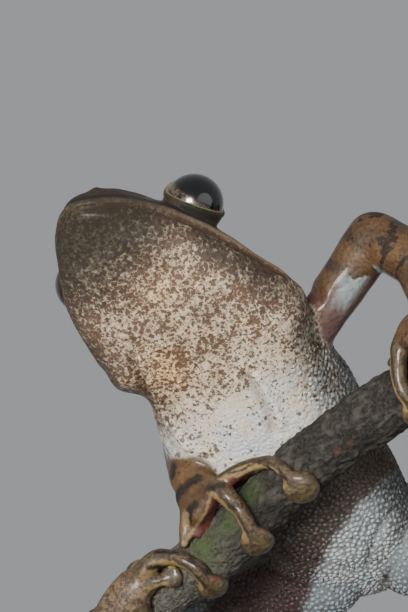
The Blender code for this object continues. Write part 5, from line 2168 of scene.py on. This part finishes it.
@dataclass
class Stand:
    """The plain display stand: a base plate and two rods, each in a small collar."""

    base_size: tuple = (112.0, 96.0, 6.0)
    corner: float = 14.0
    edge: float = 1.0
    foot_edge: float = 0.35
    rod_radius: float = 1.5
    rod_gap: float = 0.6
    collar_radius: float = 2.7
    collar_height: float = 2.2
    rods: tuple = (("stand_rod_low", -36.5), ("stand_rod_high", 43.5))
    paint: PaintedWood = field(default_factory=PaintedWood)
    steel: BrushedSteel = field(default_factory=BrushedSteel)

    def outline(self, inset: float, height: float) -> Array:
        """Gives the base's rounded outline.

        Args:
            inset: how far it is drawn in.
            height: how high it lies.

        Returns:
            Its places in the model's own millimetres.
        """
        radius = self.corner - inset
        half = np.array(self.base_size[:2]) / 2.0 - self.corner
        places = []
        for quarter, (right, back) in enumerate(((1, 1), (-1, 1), (-1, -1), (1, -1))):
            for angle in np.radians(np.linspace(0.0, 90.0, 15) + 90.0 * quarter):
                places.append((right * half[0] + radius * math.cos(angle),
                               back * half[1] + radius * math.sin(angle), height))
        return np.array(places)

    def base(self) -> Piece:
        """Makes the base plate with softly rounded upper edges."""
        top = self.base_size[2]
        levels = [(self.foot_edge, 0.0), (0.0, self.foot_edge)]
        for angle in np.radians(np.linspace(0.0, 90.0, 7)):
            levels.append((self.edge * (1.0 - math.cos(angle)),
                           top - self.edge * (1.0 - math.sin(angle))))
        levels += [(self.edge + 4.0, top)]
        rings = np.array([self.outline(inset, height) for inset, height in levels])
        piece = self.upright("display_base", rings, (0.0, 0.0))
        heights = points_of(piece)[:, 2] / MM
        add_values(piece, "edge", ramp(top - 1.2, top - 0.3, heights)
                   * fall(top - 0.2, top, heights))
        piece.data.materials.append(self.paint.build())
        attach(piece, BODY)
        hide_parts("stand_base")
        return piece

    def upright(self, name: str, rings: Array, middle: tuple) -> Piece:
        """Makes an upright piece from level rings in the model's own millimetres.

        Args:
            name: the new object's name.
            rings: its rings, from low to high.
            middle: the place across of both closing points.

        Returns:
            The piece.
        """
        shell = loft(rings, np.array([*middle, rings[0, 0, 2]]),
                     np.array([*middle, rings[-1, 0, 2]]))
        return make_mesh(name, Shell(VIEW.to_millimetres(shell.points * MM), shell.faces))

    def rod(self, node: str, along: float, material: Material) -> Piece:
        """Makes one rod with its collar, up into the branch's underside.

        Args:
            node: the solid rod that it stands for.
            along: where it meets the branch.
            material: its finish.

        Returns:
            The rod.
        """
        foot = VIEW.to_metres(BRANCH_FORM.axis(np.array(along))) / MM
        low, flange = self.base_size[2], self.collar_radius
        collar = low + self.collar_height
        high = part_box(node)[1][2] / MM - self.rod_gap
        profile = ((flange, low), (flange, collar - 0.5), (flange - 0.15, collar - 0.15),
                   (flange - 0.5, collar), (self.rod_radius, collar), (self.rod_radius, high))
        angle = turns_of(40)
        rings = np.array([np.stack([
            foot[0] + radius * np.cos(angle), foot[1] + radius * np.sin(angle),
            np.full(40, height)], axis=1) for radius, height in profile])
        piece = self.upright(node.replace("stand", "steel"), rings, (foot[0], foot[1]))
        piece.data.materials.append(material)
        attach(piece, BODY)
        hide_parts(node)
        return piece

    def build(self) -> list:
        """Makes base and rods."""
        steel = self.steel.build()
        return [self.base()] + [self.rod(node, along, steel) for node, along in self.rods]


@dataclass(frozen=True)
class Studio:
    """Plain pale floor, soft lights and the camera at the viewer's place."""

    floor_tone: Colour = tint(214, 212, 206)
    floor_width: float = 3.0
    world_tone: Colour = (0.62, 0.63, 0.65)
    world_strength: float = 0.55
    key_power: float = 2.6
    fill_power: float = 0.5

    def floor(self) -> None:
        """Makes the floor under the base."""
        half = self.floor_width / 2.0
        mesh = bpy.data.meshes.new("floor")
        mesh.from_pydata([(-half, -half, 0.0), (half, -half, 0.0), (half, half, 0.0),
                          (-half, half, 0.0)], [], [(0, 1, 2, 3)])
        floor = in_scene("floor", mesh)
        material, graph, shader = new_material("pale_floor", Roughness=0.7)
        _, tone = Unevenness().place_in(graph, graph.millimetres(), 0.05)
        graph.dress(shader, Base_Color=graph.blend(tone * 0.06, self.floor_tone, (0.5,) * 3))
        mesh.materials.append(material)

    def lamp(self, name: str, place: tuple, aim: tuple, power: float, size: float,
             tone: Colour) -> None:
        """Adds a soft round lamp.

        Args:
            name: its name.
            place: where it hangs, in the viewer's millimetres.
            aim: the place that it faces.
            power: its power in watts.
            size: its width in metres.
            tone: the colour of its light.
        """
        data = bpy.data.lights.new(name, 'AREA')
        data.shape = 'DISK'
        data.energy = power
        data.size = size
        data.color = tone
        made = in_scene(name, data)
        start, end = VIEW.to_metres(place), VIEW.to_metres(aim)
        made.location = start.tolist()
        made.rotation_euler = Vector((end - start).tolist()).to_track_quat('-Z', 'Y').to_euler()

    def camera(self) -> None:
        """Sets up the camera."""
        data = bpy.data.cameras.new("camera")
        data.sensor_width = VIEW.sensor
        data.lens = VIEW.sensor * VIEW.distance / VIEW.frame_height
        data.clip_start = 0.01
        made = in_scene("camera", data)
        turned = Matrix([list(row) for row in VIEW.axes()]).transposed()
        made.location = VIEW.to_metres((0.0, 0.0, VIEW.distance)).tolist()
        made.rotation_euler = turned.to_euler()
        bpy.context.scene.camera = made

    def build(self) -> None:
        """Makes floor, lights and camera."""
        self.floor()
        world = bpy.data.worlds.new("soft_light")
        world.use_nodes = True
        backdrop = world.node_tree.nodes['Background']
        backdrop.inputs['Color'].default_value = (*self.world_tone, 1.0)
        backdrop.inputs['Strength'].default_value = self.world_strength
        bpy.context.scene.world = world
        self.lamp("key", (-90.0, 30.0, 270.0), (0.0, -5.0, 0.0), self.key_power, 0.12,
                  (1.0, 0.97, 0.93))
        self.lamp("fill", (220.0, 20.0, 240.0), (0.0, -10.0, 0.0), self.fill_power, 0.4,
                  (0.93, 0.96, 1.0))
        self.camera()


def main() -> None:
    """Loads the frame, builds each piece in turn and notes the sizes."""
    logging.basicConfig(level=logging.INFO, format="%(message)s")
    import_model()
    for part in (FrogSkin(), Eyes(), Branch(), Stand()):
        for piece in part.build():
            LOG.info("%s: %d triangles", piece.name, triangles_of(piece))
    Studio().build()


if __name__ == "__main__":
    main()
